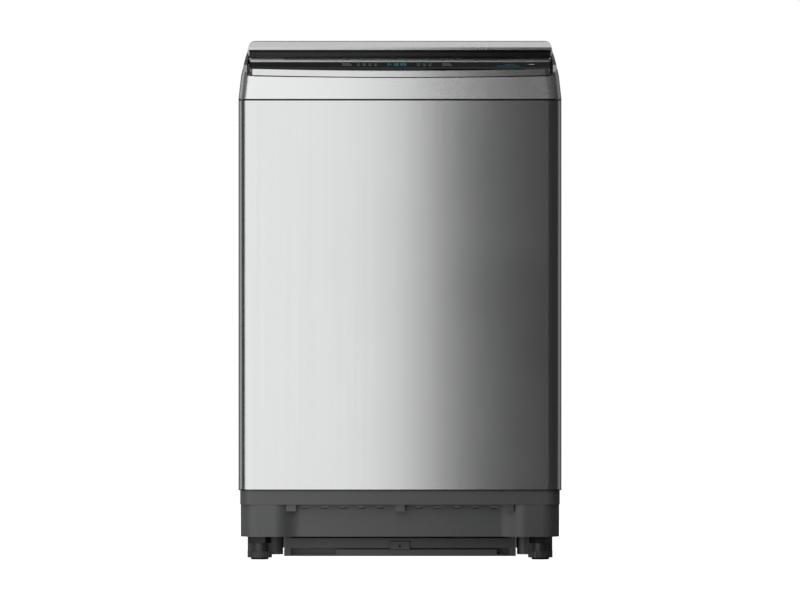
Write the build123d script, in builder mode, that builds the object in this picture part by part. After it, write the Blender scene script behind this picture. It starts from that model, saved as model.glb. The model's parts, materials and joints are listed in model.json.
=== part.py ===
"""Top load washing machine: cabinet, hood with lid, suspended tub, basket and drive.

Millimetres, +Z up, front towards -Y. The origin lies on the floor under the middle of the cabinet.
"""

import os
from math import atan2, cos, degrees, radians, sin

from build123d import *

os.makedirs("parts", exist_ok=True)

# ---------------------------------------------------------------- driving dimensions
WIDTH = 590.0                 # cabinet, side to side
DEPTH = 600.0                 # cabinet, front to back
SHELL_HEIGHT = 714.0          # sheet steel wrap, bottom edge to top edge
CORNER_R = 24.0               # vertical corners of the cabinet
SHEET = 1.2                   # cabinet sheet steel
PANEL_SHEET = 0.8             # back panel sheet steel
WALL = 3.0                    # moulded plastic wall
FIT = 0.5                     # gap between nested mouldings
RUN = 0.05                    # radial clearance of a running shaft
SEAM = 1.4                    # shadow gap over the wrap
SCREW_ROOM = 2.0              # the wrap ends this far before the rear of the top cover

BASE_BOTTOM = 42.0            # underside of the base frame
SKIRT_HEIGHT = 59.0
BAND_HEIGHT = 26.0
RIM_HEIGHT = 14.0             # base rim that stands inside the wrap
BAND_INSET = 3.0
SKIRT_INSET = 4.0
SKIRT_R = 30.0
SKIRT_WALL = 4.0
LEG_BOTTOM = 8.0              # inner legs of the base stand this high
GUARD_BOTTOM = 5.0
PILLAR = 72.0                 # width of each corner pillar
RECESS = 16.0                 # depth of the panels between the pillars
SLOPE = 26.0                  # width of the slope between pillar and panel
VALLEY_R = 34.0               # roundness of that slope, top and bottom
FOOT_INSET_X = 38.5
FOOT_INSET_Y = 38.0

FOOT_R = 22.5
FOOT_PAD_R = 16.0
FOOT_PAD_HEIGHT = 3.6
FOOT_DISC_HEIGHT = 11.7
THREAD_R = 15.7
THREAD_CLEARANCE = 0.4
THREAD_PITCH = 5.0
THREAD_LENGTH = 64.0
NUT_HEIGHT = 12.0
NUT_R = 20.5

APRON_HEIGHT = 43.0           # top cover, wrap to hood
APRON_SETBACK = 14.0          # lean of its front facet
APRON_SIDE_SETBACK = 4.6
APRON_REAR_SETBACK = 1.0
DECK = 3.0
HOOD_HEIGHT = 57.5
HOOD_SIDE_SETBACK = 13.0
HOOD_EDGE_R = 12.0
ARM = 10.9                    # width of the hood arms where they start
HOOD_LIP_Y = 173.0            # front edge of the hood behind the lid
HOOD_LIP_HEIGHT = 15.0        # rounded lip over the shadow slot
HOOD_LIP_FACE = 4.5           # upright face along the lower edge of the lip
HOOD_BEVEL = 16.0             # the lip leans back over this depth above that face
HOOD_SLOT_HEIGHT = 5.0
HOOD_SLOT_DEPTH = 12.0
TRIM_HEIGHT = 13.0
TRIM_GAP = 5.5                # dark gap between trim or lid and the arms
DROOP = 3.6                   # sag of the seam lines towards the middle
PANEL_DEPTH = 85.0            # control panel, front to back
PANEL_RISE = 24.3             # control panel, seam to rear edge
GLASS = 4.0

LID_LENGTH = 367.0
LID_GAP = 2.0
LID_THICKNESS = 14.0
LID_SLOPE = 1.32              # degrees, rising to the rear
LID_CORNER_R = 12.0
PIN_R = 4.0
PIN_DEPTH = 9.0               # hinge pin axis under the lid's top
PIN_INSET = 7.0               # hinge pin axis from the lid's rear edge
BUSH_R = 6.5

HEADROOM = 91.0               # tub rim below the top of the wrap
DRIVE_ROOM = 78.0             # tub floor above the bottom of the wrap
TUB_GAP = 40.0                # tub to cabinet side
TUB_WALL = 3.0
TUB_FLOOR = 4.0
TUB_RING_HEIGHT = 25.0
TUB_RISE = 10.0               # travel of the suspended tub, up and down
TUB_DROP = 30.0
BASKET_GAP = 27.0             # basket to tub
BASKET_SHEET = 1.2
ROD_INSET_X = 57.0
ROD_INSET_Y = 60.0
ROD_R = 4.0
SPRING_R = 16.5
SPRING_WIRE = 4.0
SPRING_LENGTH = 85.0

MOUTH_DEPTH = 330.0           # loading opening, front to back
MOUTH_SIDE = 70.0             # the opening is this much narrower than the tub
MOUTH_R = 90.0

MOTOR_OFFSET = 165.0
MOTOR_R = 58.0
PULLEY_R = 75.0
MOTOR_PULLEY_R = 25.0
BELT = 5.0
BELT_GAP = 0.4
PULLEY_HEIGHT = 16.0
INPUT_R = 9.0
SPIN_TUBE_R = 17.0
SHAFT_R = 8.0
GEARCASE_R = 62.0

HANDLE_Z = 604.0
HANDLE_LENGTH = 118.0
HANDLE_HEIGHT = 34.0
HANDLE_DEPTH = 22.0

DRAWER_WIDTH = 182.0
DRAWER_HEIGHT = 48.0
DRAWER_DEPTH = 118.0

SPIGOT_R = 13.2               # G 3/4 hose thread
DRAIN_R = 14.0
DRAIN_LENGTH = 17.0           # free length of the drain spigot
CORD_R = 4.0

# ---------------------------------------------------------------- levels and places worked out from them
CENTRE_LOW = (Align.CENTER, Align.CENTER, Align.MIN)
CENTRE_HIGH = (Align.CENTER, Align.CENTER, Align.MAX)

BAND_BOTTOM = BASE_BOTTOM + SKIRT_HEIGHT
SHELL_BOTTOM = BAND_BOTTOM + BAND_HEIGHT
SHELL_TOP = SHELL_BOTTOM + SHELL_HEIGHT
APRON_TOP = SHELL_TOP + APRON_HEIGHT
HOOD_TOP = APRON_TOP + HOOD_HEIGHT
FRONT = -DEPTH / 2
REAR = DEPTH / 2
SHELL_DEPTH = DEPTH - SCREW_ROOM
SHELL_Y = -SCREW_ROOM / 2
INNER_W = WIDTH - 2 * (SHEET + FIT)
INNER_D = SHELL_DEPTH - 2 * (SHEET + PANEL_SHEET + FIT)
INNER_R = CORNER_R - SHEET - FIT

FOOT_X = WIDTH / 2 - FOOT_INSET_X
FOOT_Y = DEPTH / 2 - FOOT_INSET_Y
FEET = {
    "front_left": (-FOOT_X, -FOOT_Y),
    "front_right": (FOOT_X, -FOOT_Y),
    "rear_left": (-FOOT_X, FOOT_Y),
    "rear_right": (FOOT_X, FOOT_Y),
}
CORNERS = [(-1, -1), (1, -1), (-1, 1), (1, 1)]

APRON_W = WIDTH - 2 * APRON_SIDE_SETBACK
APRON_D = DEPTH - APRON_SETBACK - APRON_REAR_SETBACK
APRON_Y = (APRON_SETBACK - APRON_REAR_SETBACK) / 2
PANEL_FRONT = FRONT + APRON_SETBACK - 1.0
PANEL_REAR = PANEL_FRONT + PANEL_DEPTH
POCKET_X = APRON_W / 2 - ARM
LID_X = POCKET_X - TRIM_GAP
LID_FRONT = PANEL_REAR + LID_GAP
LID_TOP = APRON_TOP + PANEL_RISE + 0.2
LID_NORMAL = (0, -sin(radians(LID_SLOPE)), cos(radians(LID_SLOPE)))
LID_PLANE = Plane(origin=(0, LID_FRONT, LID_TOP), x_dir=(1, 0, 0), z_dir=LID_NORMAL)
HINGE = LID_PLANE.from_local_coords(Vector(0, LID_LENGTH - PIN_INSET, -PIN_DEPTH))
HINGE_Y = HINGE.Y
HINGE_Z = HINGE.Z

TUB_BOTTOM = SHELL_BOTTOM + DRIVE_ROOM
TUB_TOP = SHELL_TOP - HEADROOM
TUB_R = min(WIDTH, DEPTH) / 2 - TUB_GAP
TUB_INNER_R = TUB_R - TUB_WALL
BASKET_R = TUB_R - BASKET_GAP
FUNNEL_BOTTOM = TUB_TOP + TUB_RING_HEIGHT + TUB_RISE + 15.0
MOUTH_W = 2 * TUB_R - MOUTH_SIDE
MOUTH_FRONT = PANEL_REAR + 19.0
MOUTH_Y = MOUTH_FRONT + MOUTH_DEPTH / 2
MOUTH_REAR = MOUTH_FRONT + MOUTH_DEPTH

ROD_X = WIDTH / 2 - ROD_INSET_X
ROD_Y = DEPTH / 2 - ROD_INSET_Y
RODS = [(sx * ROD_X, sy * ROD_Y) for sx, sy in CORNERS]
SPRING_FOOT = TUB_BOTTOM + 6.0
SPRING_TOP = SPRING_FOOT + SPRING_LENGTH
LUG_BOTTOM = SPRING_TOP + 4.0
LUG_HEIGHT = 18.0
HANGER_Z = SHELL_TOP - 35.0

BASKET_BOTTOM = TUB_BOTTOM + 38.0
BASKET_WALL_BOTTOM = BASKET_BOTTOM + 19.0
BASKET_TOP = TUB_TOP - 45.0
RING_TOP = TUB_TOP - 8.0
PULSATOR_R = BASKET_R - 38.0
PULSATOR_BOTTOM = BASKET_BOTTOM + 11.0
PULLEY_BOTTOM = TUB_BOTTOM - 121.0
PLATE_BOTTOM = TUB_BOTTOM - 13.0
PLATE = 5.0

DRAWER_TOP = APRON_TOP - 12.0
DRAWER_BOTTOM = DRAWER_TOP - DRAWER_HEIGHT
PANEL_WALL_Y = DEPTH / 2 - SKIRT_INSET - RECESS


# ---------------------------------------------------------------- shared outlines
def rounded_ring(width, depth, radius, wall):
    """Ring between a rounded rectangle and the same one inset by the wall."""
    RectangleRounded(width, depth, radius)
    RectangleRounded(width - 2 * wall, depth - 2 * wall, radius - wall, mode=Mode.SUBTRACT)


def skirt_outline(inset, mode=Mode.ADD):
    """Plan of the skirt: four pillars that run into a set-back panel between each two in a soft curve."""
    width = WIDTH - 2 * SKIRT_INSET - 2 * inset
    depth = DEPTH - 2 * SKIRT_INSET - 2 * inset
    half_x = WIDTH / 2 - SKIRT_INSET - PILLAR + inset
    half_y = DEPTH / 2 - SKIRT_INSET - PILLAR + inset
    with BuildSketch(mode=Mode.PRIVATE) as outline:
        RectangleRounded(width, depth, SKIRT_R - inset)
        for side in (-1, 1):
            face = side * depth / 2
            with BuildLine() as front_cut:
                Polyline(
                    (-half_x, face),
                    (-half_x + SLOPE, face - side * RECESS),
                    (half_x - SLOPE, face - side * RECESS),
                    (half_x, face),
                    (-half_x, face),
                )
            make_face(front_cut.edges(), mode=Mode.SUBTRACT)
            face = side * width / 2
            with BuildLine() as side_cut:
                Polyline(
                    (face, -half_y),
                    (face - side * RECESS, -half_y + SLOPE),
                    (face - side * RECESS, half_y - SLOPE),
                    (face, half_y),
                    (face, -half_y),
                )
            make_face(side_cut.edges(), mode=Mode.SUBTRACT)
        bends = outline.vertices().filter_by(
            lambda v: abs(v.X) < half_x + 0.01 or abs(v.Y) < half_y + 0.01
        )
        fillet(bends, radius=VALLEY_R)
    add(outline.sketch, mode=mode)


def droop_outline(half_width, low, high):
    """Front view strip whose upper and lower edges sag towards the middle."""
    with BuildLine() as strip:
        ThreePointArc((-half_width, low), (0, low - DROOP), (half_width, low))
        Line((half_width, low), (half_width, high))
        ThreePointArc((half_width, high), (0, high - DROOP), (-half_width, high))
        Line((-half_width, high), (-half_width, low))
    make_face(strip.edges())


# ---------------------------------------------------------------- base
with BuildPart() as base_frame:
    with BuildSketch(Plane.XY.offset(BASE_BOTTOM)):
        skirt_outline(0)
        skirt_outline(SKIRT_WALL, Mode.SUBTRACT)
    extrude(amount=SKIRT_HEIGHT)
    with BuildSketch(Plane.XY.offset(BAND_BOTTOM)):
        band_w = WIDTH - 2 * BAND_INSET
        band_d = DEPTH - 2 * BAND_INSET
        rounded_ring(band_w, band_d, CORNER_R - BAND_INSET / 2, RECESS + SKIRT_WALL + 1)
    extrude(amount=SKIRT_WALL)
    with BuildSketch(Plane.XY.offset(BAND_BOTTOM)):
        rounded_ring(band_w, band_d, CORNER_R - BAND_INSET / 2, SKIRT_WALL)
    extrude(amount=BAND_HEIGHT)
    with BuildSketch(Plane.XY.offset(SHELL_BOTTOM - WALL)):
        rounded_ring(band_w, band_d, CORNER_R - BAND_INSET / 2, SKIRT_WALL + WALL)
    extrude(amount=WALL)
    with BuildSketch(Plane.XY.offset(SHELL_BOTTOM)):
        with Locations((0, SHELL_Y)):
            rounded_ring(INNER_W, INNER_D, INNER_R, WALL)
    extrude(amount=RIM_HEIGHT)
    with Locations([(x, y, BASE_BOTTOM) for x, y in FEET.values()]):
        Cylinder(THREAD_R + SKIRT_WALL + 3, SKIRT_HEIGHT + SKIRT_WALL, align=CENTRE_LOW)
    for sx, sy in CORNERS:
        with BuildSketch(Plane.XY.offset(BASE_BOTTOM)):
            with Locations((sx * (WIDTH / 2 - 42), sy * (DEPTH / 2 - 42))):
                Rectangle(66, 66)
            skirt_outline(0, Mode.INTERSECT)
        extrude(amount=WALL * 2)
        leg_x = WIDTH / 2 - 48.5
        leg_y = DEPTH / 2 - 99
        with BuildSketch(Plane.XY.offset(LEG_BOTTOM)):
            with Locations((sx * leg_x, sy * leg_y)):
                RectangleRounded(65, 62, 14)
        extrude(amount=BASE_BOTTOM - LEG_BOTTOM)
        with Locations((sx * leg_x, sy * (leg_y + 12), BASE_BOTTOM)):
            Box(65, 70, WALL * 2, align=CENTRE_LOW)
        # gusset that carries the inner leg on the pillar and the side wall
        with Locations((sx * (WIDTH / 2 - 25.5), sy * leg_y, BASE_BOTTOM)):
            Box(20, 62, SKIRT_HEIGHT, align=CENTRE_LOW)
    # hanging tabs and the row of drain slots at the front and the back
    tab_z = BAND_BOTTOM - 12.5
    with Locations([(x, sy * (DEPTH / 2 - BAND_INSET - 5), tab_z) for x in (-199, 0, 199) for sy in (-1, 1)]):
        Box(17.5, 4, 12.5, align=CENTRE_LOW)
    slot_x = [side * (36 + 34 * i) for i in range(5) for side in (-1, 1)]
    with Locations([(x, -PANEL_WALL_Y, BAND_BOTTOM - 7.5) for x in slot_x]):
        Box(13, 3 * SKIRT_WALL, 4, align=CENTRE_LOW, mode=Mode.SUBTRACT)
    with Locations([(x, y, 0) for x, y in FEET.values()]):
        Cylinder(THREAD_R + THREAD_CLEARANCE, BAND_BOTTOM, align=CENTRE_LOW, mode=Mode.SUBTRACT)
    # rear openings for the drain outlet and the mains cord gland
    with BuildSketch(Plane.XZ.offset(-PANEL_WALL_Y - 1)):
        with Locations((-150, BASE_BOTTOM + 30)):
            Circle(DRAIN_R + 0.3)
        with Locations((170, BASE_BOTTOM + 30)):
            Circle(8.3)
    extrude(amount=SKIRT_WALL + 2, mode=Mode.SUBTRACT)
base_frame.part.label = "base_frame"
export_step(base_frame.part, "parts/base_frame.step")

GUARD_X = WIDTH / 2 - 86.0
GUARD_Y = DEPTH / 2 - 68.0
GUARD_TOP = 38.0
GUARD_GROOVE = 17.0           # underside of the groove between lower strip and upper panel
GUARD_GROOVE_DEPTH = 24.0
with BuildPart() as bottom_guard:
    with BuildSketch(Plane.XY.offset(GUARD_BOTTOM)):
        RectangleRounded(2 * GUARD_X - 16, 2 * GUARD_Y, 14)
    extrude(amount=WALL)
    # front and rear aprons: lower strip, groove, upper panel
    for sy in (-1, 1):
        with Locations((30, sy * (GUARD_Y - 2), GUARD_BOTTOM + WALL)):
            Box(294, 4, GUARD_GROOVE - GUARD_BOTTOM - WALL, align=CENTRE_LOW)
        with Locations((0, sy * (GUARD_Y - GUARD_GROOVE_DEPTH), GUARD_BOTTOM + WALL)):
            Box(2 * GUARD_X - 16, 4, GUARD_TOP - GUARD_BOTTOM - 2 * WALL, align=CENTRE_LOW)
        with Locations((0, sy * (GUARD_Y - 3), GUARD_GROOVE + WALL)):
            Box(2 * GUARD_X - 16, 6, GUARD_TOP - GUARD_GROOVE - WALL, align=CENTRE_LOW)
    # side rails that hang the guard from the inner legs
    for sx in (-1, 1):
        with Locations((sx * (GUARD_X - 3), 0, GUARD_BOTTOM + WALL)):
            Box(8, 2 * GUARD_Y - 60, GUARD_TOP - GUARD_BOTTOM - WALL, align=CENTRE_LOW)
        with Locations((sx * (GUARD_X - 3), 0, GUARD_BOTTOM)):
            Box(12, 2 * GUARD_Y, 4, align=CENTRE_LOW)
        for sy in (-1, 1):
            with Locations((sx * (GUARD_X - 3), sy * (GUARD_Y - 6), GUARD_BOTTOM)):
                Box(12, 12, BASE_BOTTOM - GUARD_BOTTOM, align=CENTRE_LOW)
    with GridLocations(2 * GUARD_X / 4, 2 * GUARD_Y / 7, 3, 6):
        Box(60, 8, 40, mode=Mode.SUBTRACT)
    with Locations((0, -GUARD_Y - 1.5, GUARD_GROOVE - 0.6)):
        Box(37, 3, 16.6, align=CENTRE_LOW)
    chamfer(bottom_guard.faces().sort_by(Axis.Y)[0].edges(), length=1.4)
    with BuildSketch(Plane.XZ.offset(GUARD_Y + 4)):
        with Locations((0, 23)):
            Circle(2.4)
    extrude(amount=-12, mode=Mode.SUBTRACT)
bottom_guard.part.label = "bottom_guard"
export_step(bottom_guard.part, "parts/bottom_guard.step")

# ---------------------------------------------------------------- levelling feet
FOOT_TOP = FOOT_PAD_HEIGHT + FOOT_DISC_HEIGHT
for place, (x, y) in FEET.items():
    with BuildPart() as foot:
        with BuildSketch(Plane.XY.offset(FOOT_PAD_HEIGHT)):
            with Locations((x, y)):
                Circle(FOOT_R)
                with PolarLocations(FOOT_R + 0.4, 24):
                    Circle(1.5, mode=Mode.SUBTRACT)
        extrude(amount=FOOT_DISC_HEIGHT)
        with Locations((x, y, FOOT_TOP)):
            Cylinder(THREAD_R - 1.4, THREAD_LENGTH, align=CENTRE_LOW)
        turns = int(THREAD_LENGTH // THREAD_PITCH)
        with Locations([(x, y, FOOT_TOP + 1 + THREAD_PITCH * i) for i in range(turns)]):
            Cylinder(THREAD_R, THREAD_PITCH / 2, align=CENTRE_LOW)
    foot.part.label = f"foot_{place}"
    export_step(foot.part, f"parts/foot_{place}.step")

    with BuildPart() as foot_pad:
        with Locations((x, y, 0)):
            Cylinder(FOOT_PAD_R, FOOT_PAD_HEIGHT, align=CENTRE_LOW)
    foot_pad.part.label = f"foot_pad_{place}"
    export_step(foot_pad.part, f"parts/foot_pad_{place}.step")

with BuildPart() as foot_lock_nuts:
    with BuildSketch(Plane.XY.offset(BASE_BOTTOM - NUT_HEIGHT)):
        with Locations(list(FEET.values())):
            RegularPolygon(NUT_R, 6)
            Circle(THREAD_R + THREAD_CLEARANCE, mode=Mode.SUBTRACT)
    extrude(amount=NUT_HEIGHT)
foot_lock_nuts.part.label = "foot_lock_nuts"
export_step(foot_lock_nuts.part, "parts/foot_lock_nuts.step")

# ---------------------------------------------------------------- cabinet
FLANGE = 18.0                 # rear flanges of the wrap
REAR_SPAN = WIDTH - 2 * (CORNER_R + FLANGE)
SHELL_REAR = SHELL_Y + SHELL_DEPTH / 2
with BuildPart() as cabinet_shell:
    with BuildSketch(Plane.XY.offset(SHELL_BOTTOM)):
        with Locations((0, SHELL_Y)):
            rounded_ring(WIDTH, SHELL_DEPTH, CORNER_R, SHEET)
        with Locations((0, SHELL_REAR)):
            Rectangle(REAR_SPAN, 8 * SHEET, mode=Mode.SUBTRACT)
    extrude(amount=SHELL_HEIGHT)
    with Locations((0, 0, HANDLE_Z)):
        Box(2 * WIDTH, HANDLE_LENGTH + 1, HANDLE_HEIGHT + 1, mode=Mode.SUBTRACT)
cabinet_shell.part.label = "cabinet_shell"
export_step(cabinet_shell.part, "parts/cabinet_shell.step")

PANEL_FACE = SHELL_REAR - SHEET
with BuildPart() as back_panel:
    panel_w = REAR_SPAN + 2 * (FLANGE - 4)
    panel_z = SHELL_BOTTOM + 1
    panel_h = SHELL_HEIGHT - 2
    emboss_z = panel_z + 70
    emboss_h = panel_h - 140
    with Locations((0, PANEL_FACE - PANEL_SHEET / 2, panel_z)):
        Box(panel_w, PANEL_SHEET, panel_h, align=CENTRE_LOW)
    for x in (-REAR_SPAN / 4, REAR_SPAN / 4):
        with Locations((x, PANEL_FACE + 0.3, emboss_z)):
            Box(REAR_SPAN / 2 - 60, 1.4, emboss_h, align=CENTRE_LOW)
        with Locations((x, PANEL_FACE - 0.6, emboss_z + 1)):
            Box(REAR_SPAN / 2 - 62, 1.4, emboss_h - 2, align=CENTRE_LOW, mode=Mode.SUBTRACT)
back_panel.part.label = "back_panel"
export_step(back_panel.part, "parts/back_panel.step")

# recessed carrying handles, one in each side of the wrap
for place, side in (("left", -1), ("right", 1)):
    with BuildPart() as side_handle:
        with Locations((side * (WIDTH / 2 + 0.5), 0, HANDLE_Z)):
            Box(1, HANDLE_LENGTH + 14, HANDLE_HEIGHT + 6)
        with Locations((side * (WIDTH / 2 - HANDLE_DEPTH / 2), 0, HANDLE_Z)):
            Box(HANDLE_DEPTH, HANDLE_LENGTH, HANDLE_HEIGHT)
        fillet(side_handle.edges().filter_by(Axis.X), radius=2.5)
        with Locations((side * (WIDTH / 2 - HANDLE_DEPTH / 2 + 2), 0, HANDLE_Z)):
            Box(HANDLE_DEPTH + 0.2, HANDLE_LENGTH - 4, HANDLE_HEIGHT - 4, mode=Mode.SUBTRACT)
    side_handle.part.label = f"side_handle_{place}"
    export_step(side_handle.part, f"parts/side_handle_{place}.step")

# ---------------------------------------------------------------- top cover
with BuildPart() as top_cover:
    with BuildSketch(Plane.XY.offset(SHELL_TOP + SEAM)):
        RectangleRounded(WIDTH, DEPTH, CORNER_R)
    with BuildSketch(Plane.XY.offset(APRON_TOP)):
        with Locations((0, APRON_Y)):
            RectangleRounded(APRON_W, APRON_D, CORNER_R)
    loft()
    cavity_top = APRON_TOP - DROOP - DECK
    with BuildSketch(Plane.XY.offset(SHELL_TOP + SEAM)):
        RectangleRounded(WIDTH - 2 * WALL, DEPTH - 2 * WALL, CORNER_R - WALL)
    with BuildSketch(Plane.XY.offset(cavity_top)):
        with Locations((0, APRON_Y)):
            RectangleRounded(APRON_W - 2 * WALL, APRON_D - 2 * WALL, CORNER_R - WALL)
    loft(mode=Mode.SUBTRACT)
    # thinner deck behind the control panel
    deck_front = PANEL_REAR + 6
    deck_rear = APRON_Y + APRON_D / 2 - 3 * WALL
    with BuildSketch(Plane.XY.offset(cavity_top - 1)):
        with Locations((0, (deck_front + deck_rear) / 2)):
            RectangleRounded(APRON_W - 8 * WALL, deck_rear - deck_front, CORNER_R)
    extrude(amount=APRON_TOP - DECK - cavity_top + 1, mode=Mode.SUBTRACT)
    # lip that drops inside the wrap
    with BuildSketch(Plane.XY.offset(SHELL_TOP - 20)):
        with Locations((0, SHELL_Y)):
            rounded_ring(INNER_W, INNER_D, INNER_R, WALL)
    extrude(amount=20 + SEAM)
    with BuildSketch(Plane.XY.offset(SHELL_TOP + SEAM)):
        rounded_ring(WIDTH - 2, DEPTH - 2, CORNER_R - 1, WALL + SCREW_ROOM)
    extrude(amount=WALL)
    # loading opening with its splash funnel
    with BuildSketch(Plane.XY.offset(FUNNEL_BOTTOM)):
        with Locations((0, MOUTH_Y)):
            RectangleRounded(MOUTH_W + 2 * WALL, MOUTH_DEPTH + 2 * WALL, MOUTH_R + WALL)
    extrude(amount=APRON_TOP - FUNNEL_BOTTOM - DECK)
    with BuildSketch(Plane.XY.offset(FUNNEL_BOTTOM)):
        with Locations((0, MOUTH_Y)):
            RectangleRounded(MOUTH_W, MOUTH_DEPTH, MOUTH_R)
    extrude(amount=APRON_TOP - FUNNEL_BOTTOM, mode=Mode.SUBTRACT)
    mouth_edges = top_cover.edges().filter_by(Plane.XY).group_by(Axis.Z)[-1]
    mouth_edges = mouth_edges.filter_by(lambda e: abs(e.center().Y - MOUTH_Y) < MOUTH_DEPTH / 2 + 1)
    mouth_edges = mouth_edges.filter_by(lambda e: abs(e.center().X) < MOUTH_W / 2 + 1)
    fillet(mouth_edges, radius=2)
    # doorway of the detergent drawer in the rear wall of the funnel
    with Locations((0, MOUTH_REAR + WALL / 2, DRAWER_BOTTOM - 2)):
        Box(DRAWER_WIDTH + 2 * FIT + 1, 3 * WALL, DRAWER_HEIGHT + 4, align=CENTRE_LOW, mode=Mode.SUBTRACT)
    # the front edge sags towards the middle under the control panel
    with BuildSketch(Plane.XZ.offset(-PANEL_REAR)):
        droop_outline(APRON_W / 2 - 6, APRON_TOP, APRON_TOP + 3 * DROOP)
    extrude(amount=PANEL_DEPTH + 30, mode=Mode.SUBTRACT)
top_cover.part.label = "top_cover"
export_step(top_cover.part, "parts/top_cover.step")

# ---------------------------------------------------------------- hood
HOOD_W = APRON_W - 2 * HOOD_SIDE_SETBACK
with BuildPart() as rear_hood:
    with BuildSketch(Plane.XY.offset(APRON_TOP)):
        with Locations((0, APRON_Y)):
            RectangleRounded(APRON_W, APRON_D, CORNER_R)
    with BuildSketch(Plane.XY.offset(HOOD_TOP)):
        with Locations((0, APRON_Y)):
            RectangleRounded(HOOD_W, APRON_D, CORNER_R)
    loft()
    pocket_depth = HOOD_LIP_Y - FRONT + 20
    with Locations((0, HOOD_LIP_Y - pocket_depth / 2, APRON_TOP)):
        Box(2 * POCKET_X, pocket_depth, HOOD_HEIGHT + 1, align=CENTRE_LOW, mode=Mode.SUBTRACT)
    # the arms fall in one long line towards the front corners
    with BuildSketch(Plane.YZ) as arm_cut:
        with BuildLine():
            Polyline(
                (HOOD_LIP_Y + HOOD_BEVEL, HOOD_TOP + 5),
                (HOOD_LIP_Y + HOOD_BEVEL, HOOD_TOP),
                (HOOD_LIP_Y, HOOD_TOP - HOOD_LIP_HEIGHT + HOOD_LIP_FACE),
                (HOOD_LIP_Y - 6, APRON_TOP + 38),
                (LID_FRONT + 14, APRON_TOP + 28.5),
                (FRONT + 48, APRON_TOP + 20),
                (FRONT + 10, APRON_TOP + 2),
                (FRONT - 5, APRON_TOP + 2),
                (FRONT - 5, HOOD_TOP + 5),
                (HOOD_LIP_Y + HOOD_BEVEL, HOOD_TOP + 5),
            )
        make_face()
    extrude(amount=WIDTH, both=True, mode=Mode.SUBTRACT)
    top_sides = rear_hood.edges().filter_by(
        lambda e: e.center().Z > HOOD_TOP - 0.2 and e.center().Y > HOOD_LIP_Y + HOOD_BEVEL + 0.1
    )
    fillet(top_sides, radius=HOOD_EDGE_R)
    # shadow slot between the lip and the wall behind the lid
    slot_top = HOOD_TOP - HOOD_LIP_HEIGHT
    slot_y = HOOD_LIP_Y + HOOD_SLOT_DEPTH / 2
    with Locations((0, slot_y, slot_top)):
        Box(2 * POCKET_X, HOOD_SLOT_DEPTH, HOOD_SLOT_HEIGHT, align=CENTRE_HIGH, mode=Mode.SUBTRACT)
    # hollow underside of the rear part, and of the wall under the slot
    cavity_front = HOOD_LIP_Y + HOOD_SLOT_DEPTH + WALL
    wall_room_y = (HOOD_LIP_Y + WALL + cavity_front) / 2
    wall_room_w = 2 * (POCKET_X - 2 * WALL)
    wall_room_d = cavity_front - HOOD_LIP_Y - WALL + 2
    wall_room_h = slot_top - HOOD_SLOT_HEIGHT - WALL - APRON_TOP
    with Locations((0, wall_room_y, APRON_TOP)):
        Box(wall_room_w, wall_room_d, wall_room_h, align=CENTRE_LOW, mode=Mode.SUBTRACT)
    cavity_rear = APRON_Y + APRON_D / 2 - WALL
    cavity_y = (cavity_front + cavity_rear) / 2
    with BuildSketch(Plane.XY.offset(APRON_TOP)):
        with Locations((0, cavity_y)):
            RectangleRounded(APRON_W - 2 * WALL - 2, cavity_rear - cavity_front, 20)
    with BuildSketch(Plane.XY.offset(HOOD_TOP - 2 * WALL)):
        with Locations((0, cavity_y)):
            RectangleRounded(HOOD_W - 26, cavity_rear - cavity_front - 10, 14)
    loft(mode=Mode.SUBTRACT)
    # notch for the two hose spigots
    with Locations((-150, REAR - 4, APRON_TOP)):
        Box(96, 20, 42, align=CENTRE_LOW, mode=Mode.SUBTRACT)
    # seats of the hinge bushes
    with BuildSketch(Plane.YZ.offset(-POCKET_X - 3.8)):
        with Locations((HINGE_Y, HINGE_Z)):
            Circle(BUSH_R)
    extrude(amount=2 * POCKET_X + 7.6, mode=Mode.SUBTRACT)
rear_hood.part.label = "rear_hood"
export_step(rear_hood.part, "parts/rear_hood.step")

with BuildPart() as lid_bushes:
    for side in (-1, 1):
        with BuildSketch(Plane.YZ.offset(side * (POCKET_X + 3.8))):
            with Locations((HINGE_Y, HINGE_Z)):
                Circle(BUSH_R)
        extrude(amount=-side * 3.8)
        with BuildSketch(Plane.YZ.offset(side * POCKET_X)):
            with Locations((HINGE_Y, HINGE_Z)):
                Circle(BUSH_R + 1.5)
        extrude(amount=-side * 2)
        with BuildSketch(Plane.YZ.offset(side * (POCKET_X + 3.3))):
            with Locations((HINGE_Y, HINGE_Z)):
                Circle(PIN_R + RUN)
        extrude(amount=-side * 6, mode=Mode.SUBTRACT)
lid_bushes.part.label = "lid_bushes"
export_step(lid_bushes.part, "parts/lid_bushes.step")

# ---------------------------------------------------------------- control panel
TRIM_TOP = APRON_TOP + TRIM_HEIGHT
PANEL_TOP = APRON_TOP + PANEL_RISE
PANEL_LIP = APRON_TOP + 16.0
with BuildPart() as control_housing:
    with BuildSketch(Plane.XZ.offset(-PANEL_REAR)):
        droop_outline(LID_X, APRON_TOP, TRIM_TOP)
    extrude(amount=PANEL_DEPTH)
    fillet(control_housing.edges().filter_by(Axis.Z).group_by(Axis.Y)[0], radius=9)
    with BuildSketch(Plane.XZ.offset(-PANEL_REAR + WALL)):
        droop_outline(LID_X - WALL, APRON_TOP - 1, TRIM_TOP - WALL)
    extrude(amount=PANEL_DEPTH - 4 * WALL, mode=Mode.SUBTRACT)
control_housing.part.label = "control_housing"
export_step(control_housing.part, "parts/control_housing.step")

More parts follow.
